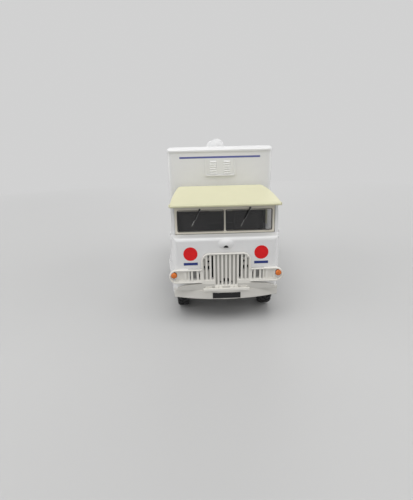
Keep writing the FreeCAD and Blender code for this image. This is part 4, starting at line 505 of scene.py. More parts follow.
class Fitting:
    """A piece drawn in millimetres in the truck's own frame, which rides on one of its bodies."""

    def __init__(self, name, finish, slot, body="truck", crease=35):
        self.name, self.finish, self.slot, self.body, self.crease = name, finish, slot, body, crease
        self.drawing = bmesh.new()

    def make(self):
        """Turns the drawing into an object; creases sharper than the angle stay sharp."""
        mesh = bpy.data.meshes.new(self.name)
        bmesh.ops.recalc_face_normals(self.drawing, faces=self.drawing.faces)
        self.drawing.to_mesh(mesh)
        self.drawing.free()
        mesh.transform(Matrix.Scale(MM, 4))
        mesh.shade_smooth()
        mesh.set_sharp_from_angle(angle=math.radians(self.crease))
        mesh.materials.append(FINISHES[self.finish])
        thing = bpy.data.objects.new(self.name, mesh)
        bpy.context.scene.collection.objects.link(thing)
        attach(thing, self.body)
        return thing

    def block(self, corner, opposite, ease=0.0):
        """Adds a box between two opposite corners, with eased edges."""
        low, high = (Vector([pick(pair) for pair in zip(corner, opposite)]) for pick in (min, max))
        place = Matrix.Translation((low + high) / 2) @ Matrix.Diagonal((*(high - low), 1.0))
        made = bmesh.ops.create_cube(self.drawing, size=1.0, matrix=place)
        if ease:
            edges = list(dict.fromkeys(edge for vert in made["verts"] for edge in vert.link_edges))
            bmesh.ops.bevel(self.drawing, geom=edges, offset=ease, segments=2, affect="EDGES", profile=0.7)

    def pad(self, centre, half, ease=0.0):
        """Adds a box round its centre."""
        self.block(Vector(centre) - Vector(half), Vector(centre) + Vector(half), ease)

    def circle(self, centre, across, up, radius, steps):
        """Adds points round a centre."""
        turns = [math.tau * step / steps for step in range(steps)]
        return [self.drawing.verts.new(centre + (across * math.cos(turn) + up * math.sin(turn)) * radius)
                for turn in turns]

    def skin(self, loops):
        """Adds the faces between each loop of points and the next; a loop of one point is a tip."""
        for first, second in zip(loops, loops[1:]):
            steps = max(len(first), len(second))
            for step in range(steps):
                after = (step + 1) % steps
                corners = (first[step % len(first)], first[after % len(first)],
                           second[after % len(second)], second[step % len(second)])
                self.drawing.faces.new(list(dict.fromkeys(corners)))

    def cap(self, loops):
        """Closes both ends of a skin."""
        self.drawing.faces.new(loops[0])
        self.drawing.faces.new(loops[-1])

    def turned(self, profile, place, axis, steps=32, closed=False):
        """Adds a form turned round an axis from (along, radius) points."""
        across, up, ahead = axis.to_track_quat("Z", "Y").to_matrix().transposed()
        loops = [self.circle(Vector(place) + ahead * along, across, up, radius, steps if radius else 1)
                 for along, radius in profile]
        self.skin(loops + loops[:1] if closed else loops)

    def knob(self, shares, place, axis, radius, high, steps):
        """Adds a turned form from shares of its height and radius."""
        self.turned([(high * up, radius * out) for up, out in shares], place, axis, steps)

    def dome(self, place, axis, radius, high, steps=10):
        """Adds a rounded head, such as a rivet's."""
        self.knob(DOME_SHARES, place, axis, radius, high, steps)

    def rod(self, start, end, radius, steps=10):
        """Adds a round bar between two points."""
        way = Vector(end) - Vector(start)
        self.turned([(0, 0), (0, radius), (way.length, radius), (way.length, 0)], start, way, steps)

    def ring(self, place, axis, radius, thick, steps=28, sides=8):
        """Adds a round ring of round section."""
        turns = [math.tau * side / sides for side in range(sides)]
        section = [(thick * math.sin(turn), radius + thick * math.cos(turn)) for turn in turns + turns[:1]]
        self.turned(section, place, axis, steps)

    def bar(self, points, radius, steps=8):
        """Adds a bent round bar along a line of points."""
        points = [Vector(point) for point in points]
        side = (points[1] - points[0]).orthogonal().normalized()
        loops = []
        for before, point, after in zip(points[:1] + points, points, points[1:] + points[-1:]):
            way = (after - before).normalized()
            side = (side - way * side.dot(way)).normalized()
            loops.append(self.circle(point, side, way.cross(side), radius, steps))
        self.skin(loops)
        self.cap(loops)

    def band(self, centre, across, up, half, corner, width, depth):
        """Adds a rounded rectangular band, standing out by its depth along across x up."""
        tightest = 0.05
        loops = []
        for inset, out in ((0, 0), (0, depth), (width, depth), (width, 0)):
            shape = rounded(half[0] - inset, half[1] - inset, max(corner - inset, tightest))
            proud = Vector(centre) + across.cross(up) * out
            loops.append([self.drawing.verts.new(proud + across * x + up * y) for x, y in shape])
        self.skin(loops + loops[:1])

    def sheet(self, outline, normal, depth):
        """Adds a flat outline given thickness along its normal."""
        face = self.drawing.faces.new([self.drawing.verts.new(spot) for spot in outline])
        made = bmesh.ops.extrude_face_region(self.drawing, geom=[face])
        verts = [item for item in made["geom"] if isinstance(item, bmesh.types.BMVert)]
        bmesh.ops.translate(self.drawing, vec=normal * depth, verts=verts)


def make(*fittings):
    """Makes the objects of several drawn fittings."""
    for fitting in fittings:
        fitting.make()


class TRUCK_OT_finishes(bpy.types.Operator):
    """Makes the materials and paints the frame's own pieces"""

    bl_idname = "truck.finishes"
    bl_label = "Finishes"

    def execute(self, context):
        tones = context.scene.truck_colours
        FINISHES.update({
            "white": enamel("WhiteEnamel", tones.white),
            # The cab shell's surfaces inside the cab are painted dark as shade.
            "cab_white": enamel("CabEnamel", tones.white, inside_shade=tones.inside),
            "trim": enamel("TrimEnamel", tones.trim, 0.34, 0.25),
            "grille": recess_shaded_enamel("GrilleEnamel", tones.trim),
            # Painted shade: bumper and valance take the trim colour darkened, the valance most.
            "bumper": enamel("BumperEnamel", shade(tones.trim, 0.86), 0.34, 0.25),
            "valance": enamel("ValanceEnamel", shade(tones.trim, 0.74), 0.38, 0.2, proud=tones.trim),
            "ventilator": enamel("VentilatorEnamel", shade(tones.white, 0.95), 0.5, 0.0),
            # The cab top's underside inside the cab is painted dark as shade.
            "cream": moulding("CreamMoulding", tones.cream, 0.62, inside_shade=tones.inside),
            "beige": moulding("BeigeMoulding", tones.beige, 0.5),
            "black": moulding("BlackMoulding", tones.black, 0.46),
            "inside": moulding("CabMoulding", tones.inside, 0.55),
            # Painted light: the cab top's front lip takes the cream lightened, to look as lit as the top.
            "cream_lip_painted_light": moulding("CreamLipPaintedLight", shade(tones.cream, 1.12), 0.62),
            "boards": moulding("FloorBoards", shade(tones.trim, 0.7), 0.55),
            "steering": moulding("SteeringMoulding", tones.steering, 0.3),
            "seat": grained("CushionMoulding", tones.inside),
            "rubber": rubber("TyreRubber", tones.rubber, tones.dust),
            "steel": bright_steel("DrawnSteel", tones.steel),
            "lamp": bright_steel("PlatedLamp", tones.lamp, 0.3),
            "clear": glazing("ClearGlazing", tones.glass, 0.04, 0.36),
            # Painted highlight: the side lamps' lens is nearly white and mostly opaque, standing also for the
            # glint under each indicator.
            "bright": glazing("BrightLensAndGlint", tones.bright, 0.08, 0.86),
            "frosted": glazing("FrostedGlazing", tones.frosted, 0.34, 0.70),
            "orange": lens("OrangeLens", tones.orange),
            "ruby": lens("RubyLens", tones.ruby),
            "red": print_paint("RedMarking", tones.red),
            "blue": print_paint("BlueMarking", tones.blue),
            "pale_blue": print_paint("PaleBlueMarking", tones.pale_blue),
            "plate": print_paint("PlateBlack", tones.plate),
        })
        for finish, nodes in PAINTED.items():
            for node in nodes:
                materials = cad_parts[node].data.materials
                materials.clear()
                materials.append(FINISHES[finish])
        return {"FINISHED"}


class TRUCK_OT_markings(bpy.types.Operator):
    """Adds the plain red discs, the blue bars and the stripe"""

    bl_idname = "truck.markings"
    bl_label = "Markings"

    def execute(self, context):
        sizes = drawn_sizes(context)
        film, radius = sizes.paint_film, sizes.disc / 2
        nose, wall = span("grille")[1].y, span("box_body")[0].y
        for side, way in SIDES:
            across = way * sizes.disc_x
            disc = Fitting(f"red_disc_{side}", "red", "white_paint")
            outline = arc((across, sizes.disc_z), (radius, radius), 0, math.tau, steps=48)[1:]
            disc.sheet([(x, nose - film, z) for x, z in outline], BACK, film)
            disc.make()
            self.add_bar(f"blue_bar_{side}", "blue", (across, nose - film / 2, sizes.bar_z),
                         (sizes.bar_long / 2, film / 2, sizes.bar_high / 2))
        self.add_bar("blue_stripe", "pale_blue", (0, wall - film / 2, sizes.stripe_z),
                     (sizes.stripe_half, film / 2, sizes.stripe_high / 2))
        return {"FINISHED"}

    def add_bar(self, name, finish, centre, half):
        """A plain bar of paint."""
        bar = Fitting(name, finish, "white_paint")
        bar.pad(centre, half)
        bar.make()


class TRUCK_OT_tyres(bpy.types.Operator):
    """Adds the tyres with their cross-bar tread"""

    bl_idname = "truck.tyres"
    bl_label = "Tyres"

    # The wall's shares of the tyre's half width and of the rise from the wheel to the tread
    WALL_SHARES = ((0.86, 0.0), (0.955, 0.1), (0.93, 0.14), (0.95, 0.22), (0.985, 0.3), (0.975, 0.42),
                   (1.0, 0.45), (1.0, 0.5), (0.975, 0.53), (0.985, 0.68), (0.95, 0.8), (0.86, 0.86))

    def execute(self, context):
        for end, side, _ in WHEELS:
            node = f"{end}_tyre_{side}"
            half, inner, outer = reach(node).x, reach(f"{end}_hub_{side}").z, reach(node).z
            left = [(half * share, inner + (outer - inner) * up) for share, up in self.WALL_SHARES]
            tyre = Fitting(f"tyre_{end}_{side}", "rubber", "tyre", f"{end}_wheels", crease=30)
            tyre.turned([(-across, radius) for across, radius in left] + left[::-1], middle(node), LEFT,
                        steps=72, closed=True)
            self.add_tread(tyre, middle(node), half, outer, drawn_sizes(context).lug_deep)
            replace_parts(tyre.make(), node)
        return {"FINISHED"}

    def add_tread(self, tyre, centre, half, outer, deep):
        """Two staggered rows of slanted bars that run over the shoulders."""
        count, root, drop = 26, 0.25, 0.35
        pitch = math.tau / count
        wide, slant = pitch * 0.29, pitch * 0.34
        # Each station's share of the half width, its lean and how far it lies below the tread
        stations = ((0.04, -slant, 0), (0.62, slant * 0.6, 0), (0.93, slant, drop))
        for first, way in ((0, -1), (pitch / 2, 1)):
            for angle in row(first, pitch, count):
                loops = []
                for share, lean, below in stations:
                    heart = centre + LEFT * way * half * share
                    before, after = (spoke(turn) for turn in both(angle + lean, wide))
                    low, high = outer - deep - root, outer - below
                    loops.append([tyre.drawing.verts.new(heart + spot) for spot in (
                        before * low, before * high, after * high, after * low)])
                tyre.skin(loops)
                tyre.cap(loops)


class TRUCK_OT_wheel_trim(bpy.types.Operator):
    """Adds the wheel nuts, black discs painted as shade in the hand holes, and the raised edges of each wheel
    """

    bl_idname = "truck.wheel_trim"
    bl_label = "Wheel Trim"

    def execute(self, context):
        nut = drawn_sizes(context).nut
        shade_disc = ((0.04, 0), (0.04, 0.55), (0, 0.6))
        disc_out, rim_out, nut_circle, hole_circle = 0.65, 2.1, 3.35, 4.45
        for end, side, way in WHEELS:
            out, wheels, centre = LEFT * way, f"{end}_wheels", middle(f"{end}_tyre_{side}")
            disc = centre + out * disc_out
            nuts = Fitting(f"wheel_nuts_{end}_{side}", "steel", "steel", wheels)
            # Painted shade: thin black discs stand for the dark inside of the hand holes.
            hole_shades = Fitting(f"wheel_hole_shades_{end}_{side}", "plate", "wheel_paint", wheels)
            edge = Fitting(f"rim_edge_{end}_{side}", "trim", "wheel_paint", wheels)
            for way_out in spokes(6):
                nuts.knob(NUT_SHARES, disc + way_out * nut_circle, out, radius=nut, high=nut, steps=6)
            for way_out in spokes(6, 0.5):
                hole_shades.turned(shade_disc, disc + way_out * hole_circle, out, steps=14)
            edge.ring(centre + out * rim_out, LEFT, radius=6.25, thick=0.16, steps=48)
            edge.ring(disc, LEFT, radius=2.45, thick=0.16, steps=32)
            make(nuts, hole_shades, edge)
        return {"FINISHED"}


class TRUCK_OT_nose_trim(bpy.types.Operator):
    """Adds the bead round the grille, the lamps, the ledge, the bulge with its mark and the plate's edge"""

    bl_idname = "truck.nose_trim"
    bl_label = "Nose Trim"

    def execute(self, context):
        line, sunk = span("grille")[0].y, 0.1
        rim = Fitting("grille_rim", "trim", "trim_paint")
        rim.bar([(x, line + sunk, z) for x, z in self.rim_line()], drawn_sizes(context).rim_bead)
        rim.make()
        self.add_lamps()
        self.add_apron()
        self.add_bulge()
        self.add_plate_edge()
        return {"FINISHED"}

    def rim_line(self):
        """The middle of the grille's rim, from one wing's lower edge round to the other's."""
        half = [(9.6, 18.3), (19.9, 18.3)]
        half += arc((20.0, 20.87), (2.5, 2.57), -math.pi / 2, math.pi, steps=14)[1:-1]
        half += [(19.9, 23.45), (10.4, 23.45), (9.75, 23.6), (9.58, 24.2), (9.55, 27.1)]
        half += arc((6.6, 27.1), (2.95, 2.98), 0, math.pi / 2, steps=10)[1:]
        return mirrored(half)

    def add_lamps(self):
        """The indicators' seats and lenses, with a small side lamp under each whose white lens also stands
        for the painted glint there.
        """
        profile = (0, 1.15), (0.1, 1.1), (0.3, 0.7), (0.36, 0)
        lamp_x, side_x, side_z, height = 20.9, 20.95, 19.75, middle("indicators").z
        lens_y, seat_y, side_y = -50.88, -50.36, -50.34
        seats = Fitting("indicator_seats", "plate", "black_plastic")
        domes = Fitting("indicator_domes", "orange", "orange_lens")
        lower = Fitting("side_lamp_lenses", "bright", "clear_plastic")
        rings = Fitting("side_lamp_rings", "steel", "steel")
        for way in WAYS:
            seats.ring((lamp_x * way, seat_y, height), BACK, radius=1.22, thick=0.11)
            domes.turned(profile, (lamp_x * way, lens_y, height), -BACK, steps=28)
            # The white lens is partly a painted glint under the indicator.
            lower.dome((side_x * way, side_y, side_z), -BACK, radius=0.5, high=0.3, steps=16)
            rings.ring((side_x * way, side_y, side_z), BACK, radius=0.52, thick=0.07, steps=20, sides=6)
        make(seats, domes, lower, rings)

    def add_apron(self):
        """The ledge and pads under the grille, and black sheets of painted shade behind its open slots."""
        ledge = (-9.3, -51.85, 14.72), (9.3, -50.9, 15.85)
        pads, pad_low, pad_high = ((1.6, 2.95), (3.2, 4.6)), (-50.95, 15.6), (-50.5, 16.45)
        shade_cards, shade_card_front, shade_card_back = ((9.2, 18.1, 29.4), (3.3, 16.7, 18.1)), -48.42, -48.3
        apron = Fitting("apron_ledge", "trim", "trim_paint")
        apron.block(*ledge, ease=0.14)
        for inner, outer in pads:
            for way in WAYS:
                apron.block((inner * way, *pad_low), (outer * way, *pad_high), ease=0.12)
        # Painted shade: black sheets behind the grille's open slots.
        shade_card = Fitting("grille_shade_card", "plate", "black_plastic")
        for half, low, high in shade_cards:
            shade_card.block((-half, shade_card_front, low), (half, shade_card_back, high), ease=0.02)
        make(apron, shade_card)

    def edge_back(self, z):
        """How far back the nose's front lies at a height, up over its rounded top edge."""
        edge, radius, most = 34.8, 1.5, 1.49
        over = max(0.0, min(z - edge, most))
        return radius - math.sqrt(radius ** 2 - over ** 2)

    def add_bulge(self):
        """The round swelling over the top edge of the nose, in place of the frame's own, and its mark."""
        half_wide, half_high, height, swell, sunk, fullness, rings = 3.3, 2.35, 33.75, 0.85, 0.05, 1.15, 14
        nose = span("grille")[1].y
        bulge = Fitting("nose_bulge", "white", "white_paint")
        loops = []
        for ring in range(rings + 1):
            share = ring / rings
            radii = (half_wide * share, half_high * share)
            front = nose + sunk - swell * (1 - share ** 2) ** fullness
            loop = arc((0, height), radii, 0, math.tau, steps=48 if ring else 1)[1:]
            loops.append([bulge.drawing.verts.new((x, front + self.edge_back(z), z)) for x, z in loop])
        bulge.skin(loops)
        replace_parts(bulge.make(), "nose_boss")
        mark = Fitting("bulge_mark", "plate", "plate_black")
        mark_y, foot, radius = -50.42, 32.5, 0.93
        arch = arc((0, foot), (radius, radius), 0, math.pi, steps=20)
        mark.sheet([(x, mark_y, z) for x, z in arch], BACK, depth=0.3)
        mark.make()

    def add_plate_edge(self):
        """The thin bright edge of the blank number plate."""
        node, sunk, past_x, past_z = "number_plate", 0.04, 0.02, 0.015
        centre = (0, span(node)[0].y + sunk, middle(node).z)
        half = (reach(node).x + past_x, reach(node).z + past_z)
        edge = Fitting("plate_edge", "steel", "steel")
        edge.band(centre, LEFT, UP, half, corner=0.2, width=0.16, depth=0.035)
        edge.make()


class TRUCK_OT_screen_trim(bpy.types.Operator):
    """Adds the cab top's lip, the header and seals of the windscreen, and the wipers"""

    bl_idname = "truck.screen_trim"
    bl_label = "Windscreen Trim"

    # The lower edge of the windscreen's frame, its lean, and the middle of a pane from the truck's middle
    FOOT_Y, FOOT_Z, LEAN, PANE_X = -45.08, 36.97, Vector((0, 0.079, 0.997)), 9.65

    def on_frame(self, x, z, out):
        """A point that far in front of the leaning windscreen frame."""
        return Vector((x, self.FOOT_Y + (z - self.FOOT_Z) * self.LEAN.y - out, z))

    def over(self, line, outs, beside=0.0):
        """Points on a line over the frame, each that far in front of it."""
        return [self.on_frame(x + beside, z, out) for (x, z), out in zip(line, outs)]

    def execute(self, context):
        line = [(21.3, -46.5), (21.3, -48.2), (21.15, -48.75), (20.7, -49.02), (20.0, -49.05)]
        height = 48.98
        # The lip's cream is lightened as painted light.
        lip = Fitting("cab_top_lip", "cream_lip_painted_light", "cream_top")
        lip.bar([(x, y, height) for x, y in mirrored(line)], radius=0.5, steps=12)
        lip.make()
        self.add_header()
        self.add_seals()
        self.add_wipers()
        return {"FINISHED"}

    def add_header(self):
        """The beam over both panes."""
        edges, out, deep, half = (46.15, 48.3), 0.16, BACK * 0.2, 9.4
        low, high = (self.on_frame(0, z, out) for z in edges)
        header = Fitting("screen_header", "beige", "screen_frame")
        for way in WAYS:
            start = LEFT * (way * self.PANE_X - half)
            header.sheet([start + spot for spot in (low, high, high + deep, low + deep)], LEFT, 2 * half)
        header.make()

    def add_seals(self):
        """The rubber round each pane and under the frame."""
        pane_z, sill = 42.2, ((-19.8, -45.2, 36.86), (19.8, -44.6, 37.0))
        seals = Fitting("screen_seals", "rubber", "black_plastic")
        for way in WAYS:
            seals.band(self.on_frame(self.PANE_X * way, pane_z, 0), LEFT, self.LEAN.normalized(),
                       half=(9.33, 4.3), corner=0.65, width=0.22, depth=0.22)
        seals.block(*sill, ease=0.04)
        seals.make()

    def add_wipers(self):
        """Arms with their pivots, springs and blades, in place of the frame's own wipers."""
        # Each wiper's pivot and lower end, across and up
        wipers = ((10.1, 46.9), (6.4, 39.6)), ((-9.9, 46.6), (-13.3, 40.0))
        bend_shares = (0.0, 0.3, 0.62, 1.0)
        arm_out, blade_out, spring_out = (0.3, 0.42, 0.3), (0.16, 0.24, 0.16), (0.34, 0.34, 0.34)
        cap_out, collar_out = 0.1, 0.16
        arms = Fitting("wiper_arms", "plate", "steel")
        springs = Fitting("wiper_springs", "steel", "steel")
        blades = Fitting("wiper_blades", "steel", "steel")
        for pivot, foot in wipers:
            line = [Vector(pivot).lerp(Vector(foot), share) for share in bend_shares]
            arms.bar(self.over(line, arm_out), radius=0.26)
            arms.dome(self.on_frame(*pivot, cap_out), -BACK, radius=0.36, high=0.4, steps=14)
            arms.ring(self.on_frame(*pivot, collar_out), BACK, radius=0.36, thick=0.08, steps=16, sides=6)
            springs.bar(self.over(line, spring_out, beside=0.3), radius=0.05, steps=6)
            blades.bar(self.over(line[1:], blade_out), radius=0.075)
        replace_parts(arms.make(), "wipers")
        make(springs, blades)


class TRUCK_OT_cab_fittings(bpy.types.Operator):
    """Adds the dials, levers, pedals, door grips and ribs of the cab and the welts moulded on the seats"""

    bl_idname = "truck.cab_fittings"
    bl_label = "Cab Fittings"

    def execute(self, context):
        self.add_dials()
        self.add_levers()
        self.add_pedals()
        self.add_grips_and_ribs()
        for side, way in SIDES:
            self.add_welts(side, way)
        return {"FINISHED"}

    def add_dials(self):
        """Round dials with bright rings on the dashboard's face."""
        # Each dial's place across and up, and its radius
        dials = (11.6, 32.4, 0.85), (9.4, 32.2, 0.6), (13.8, 32.2, 0.6), (-4.0, 32.0, 0.5)
        face, sunk, ring_out = span("dashboard")[1].y, 0.02, 0.04
        faces = Fitting("dial_faces", "plate", "cab_plastic")
        rings = Fitting("dial_rings", "steel", "steel")
        for x, z, radius in dials:
            faces.knob(DISC_SHARES, (x, face - sunk, z), BACK, radius, high=0.1, steps=20)
            rings.ring((x, face + ring_out, z), BACK, radius, thick=0.1, steps=24, sides=6)
        make(faces, rings)

    def add_levers(self):
        """Bent levers with a knob on top and a collar at the foot."""
        levers = (((3.2, -33.5, 30.9), (3.4, -34.2, 33.0), (3.9, -36.0, 36.2)),
                  ((1.2, -33.0, 30.9), (1.1, -33.2, 33.0), (0.9, -33.8, 34.6)),
                  ((-3.8, -31.0, 30.9), (-3.8, -32.4, 32.4), (-3.8, -34.8, 34.0)))
        knob_over, collar_up = UP * 0.2, UP * 0.15
        rods = Fitting("lever_rods", "steel", "steel")
        knobs = Fitting("lever_knobs", "plate", "cab_plastic")
        for line in levers:
            foot, bend, top = (Vector(spot) for spot in line)
            rods.bar(line, radius=0.22)
            knobs.dome(top - knob_over, (top - bend).normalized(), radius=0.5, high=0.8, steps=14)
            knobs.ring(foot + collar_up, UP, radius=0.55, thick=0.2, steps=18, sides=6)
        make(rods, knobs)

    def add_pedals(self):
        """Three pedals on bent stalks."""
        places, pad, stalk = (9.2, 11.4, 13.6), (-44.15, 26.7), ((-44.2, 26.8), (-45.2, 28.4), (-46.5, 29.2))
        pedals = Fitting("foot_pedals", "inside", "cab_plastic")
        for x in places:
            pedals.pad((x, *pad), half=(0.7, 0.15, 0.8), ease=0.12)
            pedals.bar([(x, *spot) for spot in stalk], radius=0.2)
        pedals.make()

    def add_grips_and_ribs(self):
        """The grip of each cab door and the ribs on the engine cover."""
        grip_x, grip, first, pitch, count, rib = 21.965, (-27.7, 31.34), -3.85, 2.5, 4, (-39.0, 31.075)
        grips = Fitting("cab_door_grips", "steel", "steel")
        for way in WAYS:
            grips.pad((grip_x * way, *grip), half=(0.315, 1.18, 0.32), ease=0.12)
        ribs = Fitting("engine_cover_ribs", "inside", "cab_plastic")
        for x in row(first, pitch, count):
            ribs.pad((x, *rib), half=(0.35, 3.5, 0.125), ease=0.1)
        make(grips, ribs)

    def add_welts(self, side, way):
        """Piping round one seat's back and cushion, with three ribs on each."""
        back, back_half = Vector((11.9 * way, -25.2, 35.7)), (4.7, 4.3)
        cushion, cushion_half = Vector((11.9 * way, -29.1, 30.5)), (4.7, 2.9)
        pitch, rib, flat, short = 2.35, 0.12, 0.06, 0.2
        welts = Fitting(f"seat_welts_{side}", "seat", "cab_plastic")
        for centre, up, half in ((back, UP, back_half), (cushion, BACK, cushion_half)):
            welts.band(centre, LEFT, up, half, corner=1.0, width=0.3, depth=0.16)
        for x in row(-pitch, pitch, 3):
            welts.pad(back + Vector((x, -flat, 0)), (rib, flat, back_half[1] - short), ease=0.03)
            welts.pad(cushion + Vector((x, 0, flat)), (rib, cushion_half[1] - short, flat), ease=0.03)
        welts.make()


class TRUCK_OT_box_trim(bpy.types.Operator):
    """Adds the seams, rivets, floor boards and window seals of the box and the ventilator's flange"""

    bl_idname = "truck.box_trim"
    bl_label = "Box Trim"

    # How far a seam reaches into the panel under it
    SUNK = 0.05

    def execute(self, context):
        sizes, roof = drawn_sizes(context), span("box_roof")[1].z
        self.add_roof(sizes, roof)
        self.add_flange(roof)
        self.add_boards()
        for side, way in SIDES:
            self.add_seams(sizes, side, way)
            self.add_windows(sizes, side, way)
        return {"FINISHED"}

    def add_roof(self, sizes, roof):
        """Four seams across the roof, each with a row of rivets."""
        places, half_wide, count, pitch = (-8.6, 3.4, 26.4, 38.4), 22.5, 15, 3.0
        top = roof + sizes.seam_high
        seams = Fitting("roof_seams", "white", "white_paint")
        heads = Fitting("roof_rivets", "white", "white_paint")
        for y in places:
            before, after = both(y, sizes.seam / 2)
            seams.block((-half_wide, before, roof - self.SUNK), (half_wide, after, top), ease=0.05)
            for x in row(-pitch * (count // 2), pitch, count):
                heads.dome((x, y, top), UP, sizes.rivet * 0.7, sizes.rivet_high * 0.8, steps=8)
        make(seams, heads)

    def add_flange(self, roof):
        """A low flange round each of the ventilator's two round feet."""
        # Each foot's place across and along, and its radius
        feet = (0.48, 15.4, 3.98), (-1.95, 16.4, 3.06)
        profile = (0, 0.45), (0.16, 0.4), (0.26, 0.1), (0.3, -0.3)
        flange = Fitting("ventilator_flange", "ventilator", "white_paint")
        for x, y, radius in feet:
            flange.turned([(up, radius + out) for up, out in profile], (x, y, roof), UP, steps=48)
        flange.make()

    def add_boards(self):
        """Boards along the floor inside the box."""
        first, pitch, count, place, half = -19.775, 5.65, 8, (15.9, 24.41), (2.745, 33.1, 0.11)
        boards = Fitting("box_floor_boards", "boards", "white_paint")
        for x in row(first, pitch, count):
            boards.pad((x, *place), half, ease=0.06)
        boards.make()

    def add_seams(self, sizes, side, way):
        """One side's upright seam and its rows of rivets."""
        wall, seam_y, corner_rows, pitch = 24.06, 14.4, (-15.9, 47.7), 2.7
        stretches = (26.5, 45.5), (46.5, 67.9)
        # The height of each row along the side, and its rivets left out at the seam
        rows, row_start, row_pitch, row_count = ((24.4, ()), (67.4, (10, 11))), -13.5, 2.8, 22
        out, face, seam_face = LEFT * way, way * wall, way * (wall + sizes.seam_high)
        small, high = sizes.rivet * 0.8, sizes.rivet_high
        seams = Fitting(f"side_seam_{side}", "white", "white_paint")
        heads = Fitting(f"side_rivets_{side}", "white", "white_paint")
        before, after = both(seam_y, sizes.seam / 2)
        for low, top in stretches:
            seams.block((way * (wall - self.SUNK), before, low), (seam_face, after, top), ease=0.05)
            count = round((top - low) / pitch)
            step = (top - low) / count
            for z in row(low + step / 2, step, count):
                heads.dome((seam_face, seam_y, z), out, small, high)
                for y in corner_rows:
                    heads.dome((face, y, z), out, sizes.rivet, high)
        for z, left_out in rows:
            for number, y in enumerate(row(row_start, row_pitch, row_count)):
                if number not in left_out:
                    heads.dome((face, y, z), out, small, high)
        make(seams, heads)

    def add_windows(self, sizes, side, way):
        """The rubber round one side's windows and the bar in the middle of each."""
        places, height, seal_x, bar_x = (-0.6, 29.4), 56.0, 24.27, 23.72
        seals = Fitting(f"side_window_seals_{side}", "rubber", "black_plastic")
        bars = Fitting(f"side_window_bars_{side}", "trim", "trim_paint")
        for y in places:
            seals.band((way * seal_x, y, height), BACK * way, UP, half=(5.12, 3.62), corner=1.3,
                       width=sizes.seal, depth=0.08)
            bars.pad((way * bar_x, y, height), half=(0.12, 0.3, 3.6), ease=0.05)
        make(seals, bars)


class TRUCK_OT_rear_trim(bpy.types.Operator):
    """Adds the rear doors' edges, seals, rivets and grips, the rear lamps' rings and the tread of the step"""

    bl_idname = "truck.rear_trim"
    bl_label = "Rear Trim"

    def execute(self, context):
        sizes = drawn_sizes(context)
        for side, way in SIDES:
            self.add_door(sizes, side, way)
        self.add_lamps()
        first, pitch, count, height = 43.7, 0.55, 7, 12.035
        treads = Fitting("step_treads", "black", "black_plastic")
        for y in row(first, pitch, count):
            treads.pad((0, y, height), half=(10.8, 0.1, 0.085), ease=0.03)
        treads.make()
        return {"FINISHED"}

    def add_door(self, sizes, side, way):
        """One door's raised edge and ribs, its window's rubber, the rivets of its straps and its grip."""
        door, centre, face, rib_y = f"rear_door_{side}", 11.38 * way, 50.5, 50.545
        edge_z, window_z, ribs = 46.35, 55.5, (37.6, 48.2)
        strap_y, strap_rivets, strap_rows = 50.9, (17.0, 19.0, 21.0), (32.2, 33.4, 60.2, 61.4)
        grip_line, grip_y, grip_z, grip_plate = (1.4, 1.6, 3.5, 5.4, 5.6), 51.25, 42.6, 5.0
        edges = Fitting(f"door_edges_{side}", "white", "white_paint", door)
        edges.band((centre, face, edge_z), -LEFT, UP, half=(10.9, 21.4), corner=0.8, width=0.5, depth=0.12)
        for z in ribs:
            edges.pad((centre, rib_y, z), half=(9.0, 0.095, 0.35), ease=0.06)
        seal = Fitting(f"door_window_seal_{side}", "rubber", "black_plastic", door)
        seal.band((centre, face, window_z), -LEFT, UP, half=(4.95, 4.35), corner=1.5, width=0.4, depth=0.12)
        heads = Fitting(f"door_rivets_{side}", "white", "white_paint", door)
        for x in strap_rivets:
            for z in strap_rows:
                heads.dome((x * way, strap_y, z), BACK, sizes.rivet * 0.8, sizes.rivet_high)
        grip = Fitting(f"door_grip_{side}", "steel", "steel", door)
        grip.bar([(x * way, grip_y, grip_z) for x in grip_line], radius=0.32)
        grip.pad((grip_plate * way, rib_y, grip_z), half=(0.7, 0.095, 0.9), ease=0.06)
        make(edges, seal, heads, grip)

    def add_lamps(self):
        """The rear lamps' rings and lenses, and the bolts of the beam."""
        lamp_x, glass_x, bolt_x, bolts_off, sunk, glass_out = 18.4, 14.6, 8.3, 1.1, 0.05, 0.15
        height, lamp_y, beam = middle("tail_lamps").z, span("tail_lamps")[1].y - sunk, span("rear_beam")[1].y
        rings = Fitting("rear_lamp_rings", "steel", "steel")
        domes = Fitting("rear_lamp_domes", "ruby", "red_lens")
        bolts = Fitting("beam_bolts", "black", "black_plastic")
        for way in WAYS:
            rings.ring((lamp_x * way, lamp_y, height), BACK, radius=1.2, thick=0.16)
            domes.dome((lamp_x * way, lamp_y, height), BACK, radius=1.1, high=0.4, steps=28)
            rings.ring((glass_x * way, beam + glass_out, height), BACK, radius=0.85, thick=0.13)
            domes.dome((glass_x * way, beam, height), BACK, radius=0.8, high=0.35, steps=24)
            for z in both(height, bolts_off):
                bolts.dome((bolt_x * way, beam, z), BACK, radius=0.35, high=0.2, steps=6)
        make(rings, domes, bolts)


